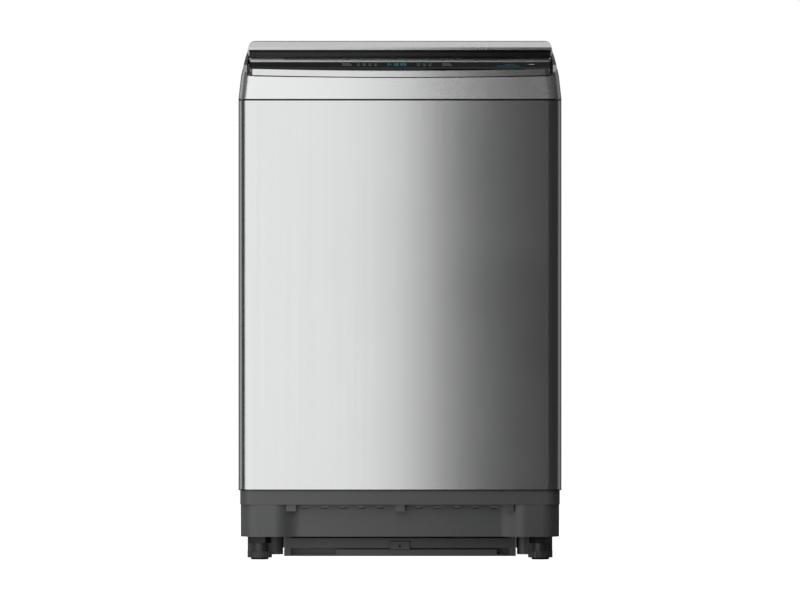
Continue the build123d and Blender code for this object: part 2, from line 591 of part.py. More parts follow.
GLASS_SLOPE = degrees(atan2(PANEL_TOP - PANEL_LIP, PANEL_DEPTH - 4))
KEY_NORMAL = (0, -sin(radians(GLASS_SLOPE)), cos(radians(GLASS_SLOPE)))
KEY_Y = PANEL_FRONT + 45.0
KEY_Z = PANEL_LIP + (KEY_Y - PANEL_FRONT - 4) * (PANEL_TOP - PANEL_LIP) / (PANEL_DEPTH - 4)
KEYS = {"start_button": (LID_X - 74, 24.0), "power_button": (LID_X - 34, 20.0)}
KEY_DEPTH = 13.0
KEY_GAP = 0.4
BOARD_Z = TRIM_TOP + 0.6


def key_plane(x, offset=0.0):
    """Plane of the glass surface at a key, moved along its normal."""
    return Plane(origin=(x, KEY_Y, KEY_Z), x_dir=(1, 0, 0), z_dir=KEY_NORMAL).offset(offset)


with BuildPart() as control_glass:
    with BuildSketch(Plane.YZ.offset(-LID_X)):
        with BuildLine():
            Polyline(
                (PANEL_FRONT, APRON_TOP),
                (PANEL_FRONT, PANEL_LIP - 3),
                (PANEL_FRONT + 4, PANEL_LIP),
                (PANEL_REAR, PANEL_TOP),
                (PANEL_REAR, APRON_TOP),
                (PANEL_FRONT, APRON_TOP),
            )
        make_face()
    extrude(amount=2 * LID_X)
    with BuildSketch(Plane.XZ.offset(-PANEL_REAR)):
        droop_outline(LID_X, APRON_TOP - 2 * DROOP, TRIM_TOP)
    extrude(amount=PANEL_DEPTH + 5, mode=Mode.SUBTRACT)
    fillet(control_glass.edges().filter_by(Axis.Z).group_by(Axis.Y)[0], radius=9)
    # room for the display board under the glass
    with BuildSketch(Plane.YZ.offset(-LID_X + GLASS)):
        with BuildLine():
            Polyline(
                (PANEL_FRONT + 14, APRON_TOP),
                (PANEL_FRONT + 14, PANEL_LIP + 1 - GLASS),
                (PANEL_REAR - GLASS, PANEL_TOP - GLASS - 0.4),
                (PANEL_REAR - GLASS, APRON_TOP),
                (PANEL_FRONT + 14, APRON_TOP),
            )
        make_face()
    extrude(amount=2 * (LID_X - GLASS), mode=Mode.SUBTRACT)
    for x, width in KEYS.values():
        with BuildSketch(key_plane(x, -2 * GLASS)):
            RectangleRounded(width + 2 * KEY_GAP, KEY_DEPTH + 2 * KEY_GAP, 3 + KEY_GAP)
        extrude(amount=3 * GLASS, mode=Mode.SUBTRACT)
control_glass.part.label = "control_glass"
export_step(control_glass.part, "parts/control_glass.step")

BOARD_X = -40.0
BOARD_DEPTH = 40.0
with BuildPart() as control_board:
    board_y = PANEL_REAR - GLASS - BOARD_DEPTH / 2 - 4
    with Locations((BOARD_X, board_y, BOARD_Z)):
        Box(2 * LID_X - 220, BOARD_DEPTH, 1.6, align=CENTRE_LOW)
    with Locations((0, board_y + 11, BOARD_Z + 1.6)):
        Box(64, 15, 2.2, align=CENTRE_LOW)
    for post_x in (-150, 60):
        post_z = TRIM_TOP - DROOP * (1 - (post_x / LID_X) ** 2) + 0.1
        with Locations((post_x, board_y + 8, post_z)):
            Cylinder(3, BOARD_Z + 0.8 - post_z, align=CENTRE_LOW)
control_board.part.label = "control_board"
export_step(control_board.part, "parts/control_board.step")

for node, (x, width) in KEYS.items():
    with BuildPart() as key:
        with BuildSketch(key_plane(x, -GLASS)):
            RectangleRounded(width, KEY_DEPTH, 3)
        extrude(amount=GLASS + 0.3)
        with BuildSketch(key_plane(x, -GLASS - 1.2)):
            RectangleRounded(width - 6, KEY_DEPTH - 4, 2)
        extrude(amount=1.2)
    key.part.label = node
    export_step(key.part, f"parts/{node}.step")

# ---------------------------------------------------------------- lid
LOCK_X = 170.0
LOCK_Y = PANEL_REAR + 9.5
with BuildPart() as lid_glass:
    with BuildSketch(LID_PLANE.offset(-GLASS)):
        with Locations((0, LID_LENGTH / 2)):
            RectangleRounded(2 * LID_X, LID_LENGTH, LID_CORNER_R)
    extrude(amount=GLASS)
lid_glass.part.label = "lid_glass"
export_step(lid_glass.part, "parts/lid_glass.step")

WINDOW_W = 2 * LID_X - 120.0
WINDOW_D = LID_LENGTH - 105.0
with BuildPart() as lid_frame:
    with BuildSketch(LID_PLANE.offset(-LID_THICKNESS)):
        with Locations((0, LID_LENGTH / 2)):
            RectangleRounded(2 * LID_X - 1, LID_LENGTH - 1, LID_CORNER_R)
            RectangleRounded(WINDOW_W, WINDOW_D, 40, mode=Mode.SUBTRACT)
    extrude(amount=LID_THICKNESS - GLASS)
    # channel in the underside between the outer wall and the window wall
    with BuildSketch(LID_PLANE.offset(-LID_THICKNESS)):
        with Locations((0, LID_LENGTH / 2)):
            RectangleRounded(2 * LID_X - 30, LID_LENGTH - 34, LID_CORNER_R)
            RectangleRounded(WINDOW_W + 2 * WALL, WINDOW_D + 2 * WALL, 43, mode=Mode.SUBTRACT)
    extrude(amount=LID_THICKNESS - GLASS - WALL, mode=Mode.SUBTRACT)
    # striker of the lid lock
    with BuildSketch(LID_PLANE.offset(-LID_THICKNESS - 6)):
        with Locations((LOCK_X, LOCK_Y - LID_FRONT)):
            Rectangle(20, 4)
    extrude(amount=6)
    # bores of the hinge pins
    with BuildSketch(Plane.YZ.offset(-LID_X)):
        with Locations((HINGE_Y, HINGE_Z)):
            Circle(PIN_R)
    extrude(amount=12, mode=Mode.SUBTRACT)
    with BuildSketch(Plane.YZ.offset(LID_X)):
        with Locations((HINGE_Y, HINGE_Z)):
            Circle(PIN_R)
    extrude(amount=-12, mode=Mode.SUBTRACT)
lid_frame.part.label = "lid_frame"
export_step(lid_frame.part, "parts/lid_frame.step")

with BuildPart() as lid_handle:
    with BuildSketch(LID_PLANE.offset(-LID_THICKNESS - 4)):
        with Locations((0, 26)):
            RectangleRounded(180, 14, 5)
    extrude(amount=4)
    with BuildSketch(LID_PLANE.offset(-LID_THICKNESS - 4)):
        with Locations((0, 26)):
            RectangleRounded(168, 6, 2)
    extrude(amount=3, mode=Mode.SUBTRACT)
lid_handle.part.label = "lid_handle"
export_step(lid_handle.part, "parts/lid_handle.step")

with BuildPart() as lid_pins:
    for side in (-1, 1):
        with BuildSketch(Plane.YZ.offset(side * (LID_X - 12))):
            with Locations((HINGE_Y, HINGE_Z)):
                Circle(PIN_R)
        extrude(amount=side * (TRIM_GAP + 12 + 2.8))
lid_pins.part.label = "lid_pins"
export_step(lid_pins.part, "parts/lid_pins.step")

with BuildPart() as lid_bumpers:
    bumper_y = 8.0
    bumper_gap = 0.3
    bumper_h = LID_TOP + bumper_y * sin(radians(LID_SLOPE)) - LID_THICKNESS - APRON_TOP - bumper_gap
    with BuildSketch(LID_PLANE.offset(-LID_THICKNESS - bumper_h)):
        with Locations((-LID_X + 40, bumper_y), (LID_X - 40, bumper_y)):
            Circle(5)
    extrude(amount=bumper_h)
lid_bumpers.part.label = "lid_bumpers"
export_step(lid_bumpers.part, "parts/lid_bumpers.step")

with BuildPart() as lid_lock:
    with Locations((LOCK_X, LOCK_Y, APRON_TOP)):
        Box(50, 14, 8, align=CENTRE_LOW)
        Box(26, 8, 20, mode=Mode.SUBTRACT)
lid_lock.part.label = "lid_lock"
export_step(lid_lock.part, "parts/lid_lock.step")

# ---------------------------------------------------------------- detergent drawer and water box
with BuildPart() as water_box:
    box_w = DRAWER_WIDTH + 2 * (FIT + WALL)
    box_d = DRAWER_DEPTH + 12
    box_z = DRAWER_BOTTOM - FIT - WALL
    with Locations((0, MOUTH_REAR + WALL + box_d / 2, box_z)):
        Box(box_w, box_d, APRON_TOP - DECK - box_z, align=CENTRE_LOW)
    with Locations((0, MOUTH_REAR + WALL + box_d / 2 - WALL, DRAWER_BOTTOM - FIT)):
        Box(DRAWER_WIDTH + 2 * FIT, box_d, DRAWER_HEIGHT + 2 * FIT, align=CENTRE_LOW, mode=Mode.SUBTRACT)
water_box.part.label = "water_box"
export_step(water_box.part, "parts/water_box.step")

DRAWER_FRONT = MOUTH_REAR
with BuildPart() as detergent_drawer:
    tray_y = DRAWER_FRONT + DRAWER_DEPTH / 2
    with Locations((0, tray_y, DRAWER_BOTTOM)):
        Box(DRAWER_WIDTH, DRAWER_DEPTH, DRAWER_HEIGHT, align=CENTRE_LOW)
    fillet(detergent_drawer.edges().filter_by(Axis.Y), radius=4)
    bin_w = DRAWER_WIDTH / 2 - 2 * WALL
    with Locations([(side * (bin_w + WALL) / 2, tray_y + WALL, DRAWER_BOTTOM + WALL) for side in (-1, 1)]):
        Box(bin_w, DRAWER_DEPTH - 3 * WALL, DRAWER_HEIGHT, align=CENTRE_LOW, mode=Mode.SUBTRACT)
    with Locations((0, DRAWER_FRONT - 2, DRAWER_TOP - 12)):
        Box(90, 4, 8, align=CENTRE_LOW)
    # softener siphon with its cap in the right-hand bin
    cap_x = (bin_w + WALL) / 2
    with Locations((cap_x, tray_y + WALL, DRAWER_BOTTOM + WALL)):
        Cylinder(8, DRAWER_HEIGHT - 16, align=CENTRE_LOW)
    with Locations((cap_x, tray_y + WALL, DRAWER_BOTTOM + DRAWER_HEIGHT - 13)):
        Cylinder(14, 3, align=CENTRE_LOW)
detergent_drawer.part.label = "detergent_drawer"
export_step(detergent_drawer.part, "parts/detergent_drawer.step")

# ---------------------------------------------------------------- water in, water out, mains cord
INLET_X = -150.0
INLET_Z = APRON_TOP + 24.0
INLET_PITCH = 46.0
with BuildPart() as inlet_valves:
    with Locations((INLET_X, REAR - 28, APRON_TOP)):
        Box(92, 20, 40, align=CENTRE_LOW)
    inlets = [(INLET_X + side * INLET_PITCH / 2, INLET_Z) for side in (-1, 1)]
    with BuildSketch(Plane.XZ.offset(-REAR + 1)):
        with Locations(inlets):
            Circle(SPIGOT_R)
    extrude(amount=17)
    with BuildSketch(Plane.XZ.offset(-REAR + 1)):
        with Locations(inlets):
            Circle(8)
    extrude(amount=30, mode=Mode.SUBTRACT)
    with Locations([(x, REAR - 53, z - 10) for x, z in inlets]):
        Box(26, 30, 24, align=CENTRE_LOW)
inlet_valves.part.label = "inlet_valves"
export_step(inlet_valves.part, "parts/inlet_valves.step")

DRAIN_X = -150.0
CORD_X = 170.0
PORT_Z = BASE_BOTTOM + 30.0
with BuildPart() as drain_outlet:
    with BuildSketch(Plane.XZ.offset(-REAR + 1)):
        with Locations((DRAIN_X, PORT_Z)):
            Circle(DRAIN_R)
    extrude(amount=DRAIN_LENGTH)
    with BuildSketch(Plane.XZ.offset(-REAR + 1 + DRAIN_LENGTH)):
        with Locations((DRAIN_X, PORT_Z)):
            Circle(DRAIN_R - 0.8)
    extrude(amount=REAR - PANEL_WALL_Y + 12 - DRAIN_LENGTH)
    with BuildSketch(Plane.XZ.offset(-PANEL_WALL_Y + SKIRT_WALL)):
        with Locations((DRAIN_X, PORT_Z)):
            Circle(DRAIN_R + 7)
    extrude(amount=4)
    with BuildSketch(Plane.XZ.offset(-REAR + 1)):
        with Locations((DRAIN_X, PORT_Z)):
            Circle(DRAIN_R - 3)
    extrude(amount=60, mode=Mode.SUBTRACT)
drain_outlet.part.label = "drain_outlet"
export_step(drain_outlet.part, "parts/drain_outlet.step")

with BuildPart() as cord_gland:
    with BuildSketch(Plane.XZ.offset(-PANEL_WALL_Y)):
        with Locations((CORD_X, PORT_Z)):
            Circle(8)
    extrude(amount=SKIRT_WALL + 6)
    with BuildSketch(Plane.XZ.offset(-PANEL_WALL_Y - 5)):
        with Locations((CORD_X, PORT_Z)):
            Circle(12)
    extrude(amount=5)
    with BuildSketch(Plane.XZ.offset(-PANEL_WALL_Y - 5)):
        with Locations((CORD_X, PORT_Z)):
            Circle(CORD_R)
    extrude(amount=30, mode=Mode.SUBTRACT)
cord_gland.part.label = "cord_gland"
export_step(cord_gland.part, "parts/cord_gland.step")

with BuildPart() as pressure_sensor:
    with BuildSketch(Plane.XZ.offset(-PANEL_FACE + PANEL_SHEET)):
        with Locations((170, TUB_TOP + 15)):
            Circle(22)
    extrude(amount=12)
    with BuildSketch(Plane.XZ.offset(-PANEL_FACE + PANEL_SHEET + 12)):
        with Locations((170, TUB_TOP + 15)):
            Circle(8)
    extrude(amount=6)
pressure_sensor.part.label = "pressure_sensor"
export_step(pressure_sensor.part, "parts/pressure_sensor.step")

# ---------------------------------------------------------------- suspension
with BuildPart() as suspension_brackets:
    for sx, sy in CORNERS:
        corner_x = sx * WIDTH / 2
        corner_y = SHELL_Y + sy * SHELL_DEPTH / 2
        with BuildSketch(Plane.XY.offset(HANGER_Z)):
            with BuildLine():
                Polyline(
                    (corner_x, corner_y),
                    (corner_x - sx * 125, corner_y),
                    (corner_x, corner_y - sy * 125),
                    (corner_x, corner_y),
                )
            make_face()
            with Locations((0, SHELL_Y)):
                RectangleRounded(
                    WIDTH - 2 * SHEET,
                    SHELL_DEPTH - 2 * (SHEET + PANEL_SHEET),
                    CORNER_R - SHEET,
                    mode=Mode.INTERSECT,
                )
            with Locations((sx * ROD_X, sy * ROD_Y)):
                Circle(11)
                Circle(ROD_R + 1, mode=Mode.SUBTRACT)
        extrude(amount=4)
suspension_brackets.part.label = "suspension_brackets"
export_step(suspension_brackets.part, "parts/suspension_brackets.step")

with BuildPart() as suspension_rods:
    with Locations([(x, y, SPRING_FOOT) for x, y in RODS]):
        Cylinder(ROD_R, HANGER_Z + 8 - SPRING_FOOT, align=CENTRE_LOW)
        Cylinder(SPRING_R, 6, align=CENTRE_HIGH)
    with Locations([(x, y, HANGER_Z + 4) for x, y in RODS]):
        Cylinder(9, 7, align=CENTRE_LOW)
suspension_rods.part.label = "suspension_rods"
export_step(suspension_rods.part, "parts/suspension_rods.step")

with BuildPart() as suspension_springs:
    with BuildSketch(Plane.XY.offset(SPRING_FOOT)):
        with Locations(RODS):
            Circle(SPRING_R)
            Circle(SPRING_R - SPRING_WIRE, mode=Mode.SUBTRACT)
    extrude(amount=SPRING_LENGTH)
suspension_springs.part.label = "suspension_springs"
export_step(suspension_springs.part, "parts/suspension_springs.step")

with BuildPart() as damper_cups:
    with Locations([(x, y, SPRING_TOP) for x, y in RODS]):
        Cylinder(SPRING_R + 5.5, 4, align=CENTRE_LOW)
        Cylinder(SPRING_R + 5.5, 30, align=CENTRE_HIGH)
        Cylinder(SPRING_R + 2.5, 30, align=CENTRE_HIGH, mode=Mode.SUBTRACT)
        Cylinder(ROD_R + 0.4, 10, align=CENTRE_LOW, mode=Mode.SUBTRACT)
damper_cups.part.label = "damper_cups"
export_step(damper_cups.part, "parts/damper_cups.step")

# ---------------------------------------------------------------- outer tub
HUB_R = 34.0
DRAIN_AT = (120.0, 150.0)
with BuildPart() as outer_tub:
    with Locations((0, 0, TUB_BOTTOM)):
        Cylinder(TUB_R, TUB_TOP - TUB_BOTTOM, align=CENTRE_LOW)
    with Locations((0, 0, TUB_TOP - 8)):
        Cylinder(TUB_R + 5, 8, align=CENTRE_LOW)
    for x, y in RODS:
        reach = (x * x + y * y) ** 0.5
        root = (TUB_R - 20) / reach
        with BuildSketch(Plane.XY.offset(LUG_BOTTOM)):
            with Locations((x, y)):
                Circle(24)
            with Locations((x * root, y * root)):
                Circle(42)
            make_hull()
            with Locations((x, y)):
                Circle(ROD_R + 2, mode=Mode.SUBTRACT)
        extrude(amount=LUG_HEIGHT)
    with Locations((0, 0, TUB_BOTTOM + TUB_FLOOR)):
        Cylinder(TUB_INNER_R, TUB_TOP, align=CENTRE_LOW, mode=Mode.SUBTRACT)
    with Locations((0, 0, TUB_BOTTOM + TUB_FLOOR)):
        Cylinder(HUB_R + 12, 8, align=CENTRE_LOW)
    with Locations((0, 0, TUB_BOTTOM)):
        Cylinder(HUB_R + 0.3, 30, align=CENTRE_LOW, mode=Mode.SUBTRACT)
    with Locations((*DRAIN_AT, TUB_BOTTOM)):
        Cylinder(14, 3 * TUB_FLOOR, mode=Mode.SUBTRACT)
outer_tub.part.label = "outer_tub"
export_step(outer_tub.part, "parts/outer_tub.step")

RING_INNER_R = BASKET_R - 26.0
with BuildPart() as tub_cover:
    with BuildSketch(Plane.XZ):
        with BuildLine():
            Polyline(
                (TUB_R + 5, TUB_TOP),
                (TUB_R + 5, TUB_TOP + 8),
                (TUB_R - 12, TUB_TOP + TUB_RING_HEIGHT),
                (RING_INNER_R + 10, TUB_TOP + TUB_RING_HEIGHT),
                (RING_INNER_R + 10, TUB_TOP + TUB_RING_HEIGHT - 8),
                (RING_INNER_R + 13, TUB_TOP + TUB_RING_HEIGHT - 8),
                (RING_INNER_R + 13, TUB_TOP + TUB_RING_HEIGHT - WALL),
                (TUB_R - 13, TUB_TOP + TUB_RING_HEIGHT - WALL),
                (TUB_R - 4, TUB_TOP + 8 - WALL),
                (TUB_R - 4, TUB_TOP),
                (TUB_R + 5, TUB_TOP),
            )
        make_face()
    revolve(axis=Axis.Z)
tub_cover.part.label = "tub_cover"
export_step(tub_cover.part, "parts/tub_cover.step")

# ---------------------------------------------------------------- drive under the tub
BEARING_R = 30.0
GEARCASE_BOTTOM = TUB_BOTTOM - 85.0
with BuildPart() as gearcase:
    with Locations((0, 0, GEARCASE_BOTTOM)):
        Cylinder(GEARCASE_R, TUB_BOTTOM - GEARCASE_BOTTOM, align=CENTRE_LOW)
    with Locations((0, 0, TUB_BOTTOM)):
        Cylinder(GEARCASE_R + 28, 8, align=CENTRE_HIGH)
        Cylinder(HUB_R, 23, align=CENTRE_LOW)
    with Locations((0, 0, GEARCASE_BOTTOM + 20)):
        Cylinder(BEARING_R, 200, align=CENTRE_LOW, mode=Mode.SUBTRACT)
    with Locations((0, 0, GEARCASE_BOTTOM - 1)):
        Cylinder(INPUT_R + RUN, 40, align=CENTRE_LOW, mode=Mode.SUBTRACT)
    lower_rims = gearcase.edges().filter_by(GeomType.CIRCLE).group_by(Axis.Z)[0]
    chamfer(lower_rims.sort_by(Edge.length)[-1], length=8)
gearcase.part.label = "gearcase"
export_step(gearcase.part, "parts/gearcase.step")

with BuildPart() as main_bearings:
    for z in (GEARCASE_BOTTOM + 40, TUB_BOTTOM):
        with Locations((0, 0, z)):
            Cylinder(BEARING_R, 14, align=CENTRE_LOW)
            Cylinder(SPIN_TUBE_R + RUN, 14, align=CENTRE_LOW, mode=Mode.SUBTRACT)
    # lip seal over the upper bearing
    with BuildSketch(Plane.XY.offset(TUB_BOTTOM + 15)):
        Circle(BEARING_R)
        Circle(SPIN_TUBE_R + RUN, mode=Mode.SUBTRACT)
    extrude(amount=7)
main_bearings.part.label = "main_bearings"
export_step(main_bearings.part, "parts/main_bearings.step")

with BuildPart() as support_bracket:
    with BuildSketch(Plane.XY.offset(PLATE_BOTTOM)):
        with Locations((-MOTOR_OFFSET / 2, 0)):
            RectangleRounded(MOTOR_OFFSET + 2 * GEARCASE_R + 90, 150, 20)
        Circle(GEARCASE_R + FIT, mode=Mode.SUBTRACT)
    extrude(amount=PLATE)
support_bracket.part.label = "support_bracket"
export_step(support_bracket.part, "parts/support_bracket.step")

MOTOR_BOTTOM = PULLEY_BOTTOM + PULLEY_HEIGHT + 12
MOTOR_SHAFT_R = 7.0
with BuildPart() as motor_housing:
    with Locations((-MOTOR_OFFSET, 0, MOTOR_BOTTOM)):
        Cylinder(MOTOR_R, PLATE_BOTTOM - MOTOR_BOTTOM, align=CENTRE_LOW)
    rims = motor_housing.edges().filter_by(GeomType.CIRCLE)
    fillet(rims, radius=6)
    with Locations((-MOTOR_OFFSET, 0, MOTOR_BOTTOM + 6)):
        Cylinder(MOTOR_R - 20, PLATE_BOTTOM - MOTOR_BOTTOM - 12, align=CENTRE_LOW, mode=Mode.SUBTRACT)
    with Locations((-MOTOR_OFFSET, 0, MOTOR_BOTTOM)):
        Cylinder(MOTOR_SHAFT_R + RUN, 20, mode=Mode.SUBTRACT)
motor_housing.part.label = "motor_housing"
export_step(motor_housing.part, "parts/motor_housing.step")


def belt_pulley(x, radius):
    """Grooved pulley, its rims standing above the belt floor."""
    with Locations((x, 0, PULLEY_BOTTOM)):
        Cylinder(radius, PULLEY_HEIGHT, align=CENTRE_LOW)
    with BuildSketch(Plane.XY.offset(PULLEY_BOTTOM + 2)) as groove:
        with Locations((x, 0)):
            Circle(radius + 1)
            Circle(radius - BELT, mode=Mode.SUBTRACT)
    extrude(groove.sketch, amount=PULLEY_HEIGHT - 4, mode=Mode.SUBTRACT)


with BuildPart() as motor_rotor:
    with Locations((-MOTOR_OFFSET, 0, MOTOR_BOTTOM + 9)):
        Cylinder(MOTOR_R - 21, PLATE_BOTTOM - MOTOR_BOTTOM - 18, align=CENTRE_LOW)
    with Locations((-MOTOR_OFFSET, 0, PULLEY_BOTTOM)):
        Cylinder(MOTOR_SHAFT_R, MOTOR_BOTTOM + 12 - PULLEY_BOTTOM, align=CENTRE_LOW)
    belt_pulley(-MOTOR_OFFSET, MOTOR_PULLEY_R)
motor_rotor.part.label = "motor_rotor"
export_step(motor_rotor.part, "parts/motor_rotor.step")

with BuildPart() as drive_pulley:
    belt_pulley(0, PULLEY_R)
    with BuildSketch(Plane.XY.offset(PULLEY_BOTTOM - 1)):
        Circle(PULLEY_R - 14)
        Circle(INPUT_R + 9, mode=Mode.SUBTRACT)
        with PolarLocations(0, 5):
            Rectangle(PULLEY_R, 10, align=(Align.MIN, Align.CENTER), mode=Mode.SUBTRACT)
    extrude(amount=2 * PULLEY_HEIGHT, mode=Mode.SUBTRACT)
    with Locations((0, 0, PULLEY_BOTTOM)):
        Cylinder(INPUT_R, GEARCASE_BOTTOM + 21 - PULLEY_BOTTOM, align=CENTRE_LOW)
        Cylinder(13, 6, align=CENTRE_HIGH)
drive_pulley.part.label = "drive_pulley"
export_step(drive_pulley.part, "parts/drive_pulley.step")

with BuildPart() as drive_belt:
    with BuildSketch(Plane.XY.offset(PULLEY_BOTTOM + 3)):
        Circle(PULLEY_R + BELT_GAP)
        with Locations((-MOTOR_OFFSET, 0)):
            Circle(MOTOR_PULLEY_R + BELT_GAP)
        make_hull()
        with BuildSketch(mode=Mode.PRIVATE) as inside:
            Circle(PULLEY_R - BELT + BELT_GAP)
            with Locations((-MOTOR_OFFSET, 0)):
                Circle(MOTOR_PULLEY_R - BELT + BELT_GAP)
            make_hull()
        add(inside.sketch, mode=Mode.SUBTRACT)
    extrude(amount=PULLEY_HEIGHT - 6)
drive_belt.part.label = "drive_belt"
export_step(drive_belt.part, "parts/drive_belt.step")

# ---------------------------------------------------------------- drain valve
VALVE_Z = TUB_BOTTOM - 27.0
VALVE_R = 22.0
with BuildPart() as drain_valve:
    with BuildSketch(Plane.YZ.offset(DRAIN_AT[0] - 26)):
        with Locations((DRAIN_AT[1], VALVE_Z)):
            Circle(VALVE_R)
    extrude(amount=84)
    with Locations((*DRAIN_AT, VALVE_Z)):
        Cylinder(17, TUB_BOTTOM - VALVE_Z, align=CENTRE_LOW)
    with BuildSketch(Plane.YZ.offset(DRAIN_AT[0] - 22)):
        with Locations((DRAIN_AT[1], VALVE_Z)):
            Circle(VALVE_R - WALL)
    extrude(amount=76, mode=Mode.SUBTRACT)
    with Locations((*DRAIN_AT, VALVE_Z)):
        Cylinder(14, 60, align=CENTRE_LOW, mode=Mode.SUBTRACT)
    with BuildSketch(Plane.YZ.offset(DRAIN_AT[0] - 27)):
        with Locations((DRAIN_AT[1], VALVE_Z)):
            Circle(11)
    extrude(amount=6, mode=Mode.SUBTRACT)
    with BuildSketch(Plane.YZ.offset(DRAIN_AT[0] + 53)):
        with Locations((DRAIN_AT[1], VALVE_Z)):
            Circle(3.4)
    extrude(amount=6, mode=Mode.SUBTRACT)
drain_valve.part.label = "drain_valve"
export_step(drain_valve.part, "parts/drain_valve.step")

with BuildPart() as drain_plug:
    with BuildSketch(Plane.YZ.offset(DRAIN_AT[0] - 21.5)):
        with Locations((DRAIN_AT[1], VALVE_Z)):
            Circle(15)
    extrude(amount=10)
    with BuildSketch(Plane.YZ.offset(DRAIN_AT[0] - 12)):
        with Locations((DRAIN_AT[1], VALVE_Z)):
            Circle(3)
    extrude(amount=80)
drain_plug.part.label = "drain_plug"
export_step(drain_plug.part, "parts/drain_plug.step")

# ---------------------------------------------------------------- basket
with BuildPart() as spin_tube:
    tube_z = GEARCASE_BOTTOM + 30
    with Locations((0, 0, tube_z)):
        Cylinder(SPIN_TUBE_R, BASKET_BOTTOM - tube_z, align=CENTRE_LOW)
    with Locations((0, 0, BASKET_BOTTOM)):
        Cylinder(62, 5, align=CENTRE_HIGH)
    with Locations((0, 0, tube_z - 1)):
        Cylinder(SHAFT_R + RUN, 200, align=CENTRE_LOW, mode=Mode.SUBTRACT)
spin_tube.part.label = "spin_tube"
export_step(spin_tube.part, "parts/spin_tube.step")

with BuildPart() as basket_base:
    with Locations((0, 0, BASKET_BOTTOM)):
        Cylinder(BASKET_R - 2, BASKET_WALL_BOTTOM - BASKET_BOTTOM, align=CENTRE_LOW)
    fillet(basket_base.edges().group_by(Axis.Z)[0], radius=8)
    with Locations((0, 0, BASKET_BOTTOM + 6)):
        Cylinder(BASKET_R - 12, 60, align=CENTRE_LOW, mode=Mode.SUBTRACT)
    with Locations((0, 0, BASKET_BOTTOM)):
        Cylinder(SHAFT_R + 6, 60, mode=Mode.SUBTRACT)
        with PolarLocations(BASKET_R - 40, 12):
            Cylinder(6, 60, mode=Mode.SUBTRACT)
basket_base.part.label = "basket_base"
export_step(basket_base.part, "parts/basket_base.step")

HOLE_ROWS = 6
HOLE_COLUMNS = 14
with BuildPart() as wash_basket:
    with BuildSketch(Plane.XY.offset(BASKET_WALL_BOTTOM)):
        Circle(BASKET_R)
        Circle(BASKET_R - BASKET_SHEET, mode=Mode.SUBTRACT)
    extrude(amount=BASKET_TOP - BASKET_WALL_BOTTOM)
    with BuildSketch(Plane.XY.offset(BASKET_WALL_BOTTOM)):
        Circle(BASKET_R)
        Circle(BASKET_R - 8, mode=Mode.SUBTRACT)
    extrude(amount=BASKET_SHEET)
    row_pitch = (BASKET_TOP - BASKET_WALL_BOTTOM - 80) / (HOLE_ROWS - 1)
    for row in range(HOLE_ROWS):
        row_plane = Plane.XY.offset(BASKET_WALL_BOTTOM + 40 + row * row_pitch)
        with Locations(row_plane):
            with PolarLocations(0, HOLE_COLUMNS, start_angle=(row % 2) * 180 / HOLE_COLUMNS):
                Cylinder(4, 2 * BASKET_R + 4, rotation=(0, 90, 0), mode=Mode.SUBTRACT)
wash_basket.part.label = "wash_basket"
export_step(wash_basket.part, "parts/wash_basket.step")

with BuildPart() as balance_ring:
    with BuildSketch(Plane.XY.offset(BASKET_TOP)):
        Circle(BASKET_R + 4)
        Circle(RING_INNER_R, mode=Mode.SUBTRACT)
    extrude(amount=RING_TOP - BASKET_TOP)
    fillet(balance_ring.edges().group_by(Axis.Z)[-1], radius=9)
    fillet(balance_ring.edges().group_by(Axis.Z)[0].sort_by(Edge.length)[0], radius=9)
balance_ring.part.label = "balance_ring"
export_step(balance_ring.part, "parts/balance_ring.step")

FILTER_Z = BASKET_WALL_BOTTOM + 190.0
FILTER_HEIGHT = 190.0
FILTER_WIDTH = 96.0
FILTER_THICK = 16.0
FILTER_X = (BASKET_R**2 - (FILTER_WIDTH / 2) ** 2) ** 0.5 - BASKET_SHEET - 2.0 - FILTER_THICK / 2
FILTER_PIN_R = 2.6
FILTER_PIN_X = FILTER_X + 3.0
FILTER_PIN_Z = FILTER_Z + 6.0
for place, side in (("left", -1), ("right", 1)):
    with BuildPart() as lint_filter:
        with Locations((side * FILTER_X, 0, FILTER_Z)):
            Box(FILTER_THICK, FILTER_WIDTH, FILTER_HEIGHT, align=CENTRE_LOW)
        fillet(lint_filter.edges().filter_by(Axis.X), radius=10)
        with Locations((side * (FILTER_X + 2.5), 0, FILTER_Z + FILTER_HEIGHT / 2)):
            Box(FILTER_THICK, FILTER_WIDTH - 16, FILTER_HEIGHT - 16, mode=Mode.SUBTRACT)
        with Locations((side * FILTER_X, 0, FILTER_Z + FILTER_HEIGHT / 2)):
            with Locations((0, -24, 0), (0, 0, 0), (0, 24, 0)):
                Box(60, 4, FILTER_HEIGHT - 60, mode=Mode.SUBTRACT)
        # hinge pins that stand out of both lower corners
        with Locations((side * FILTER_PIN_X, 0, FILTER_PIN_Z)):
            Cylinder(FILTER_PIN_R, FILTER_WIDTH + 5, rotation=(90, 0, 0))
    lint_filter.part.label = f"lint_filter_{place}"
    export_step(lint_filter.part, f"parts/lint_filter_{place}.step")

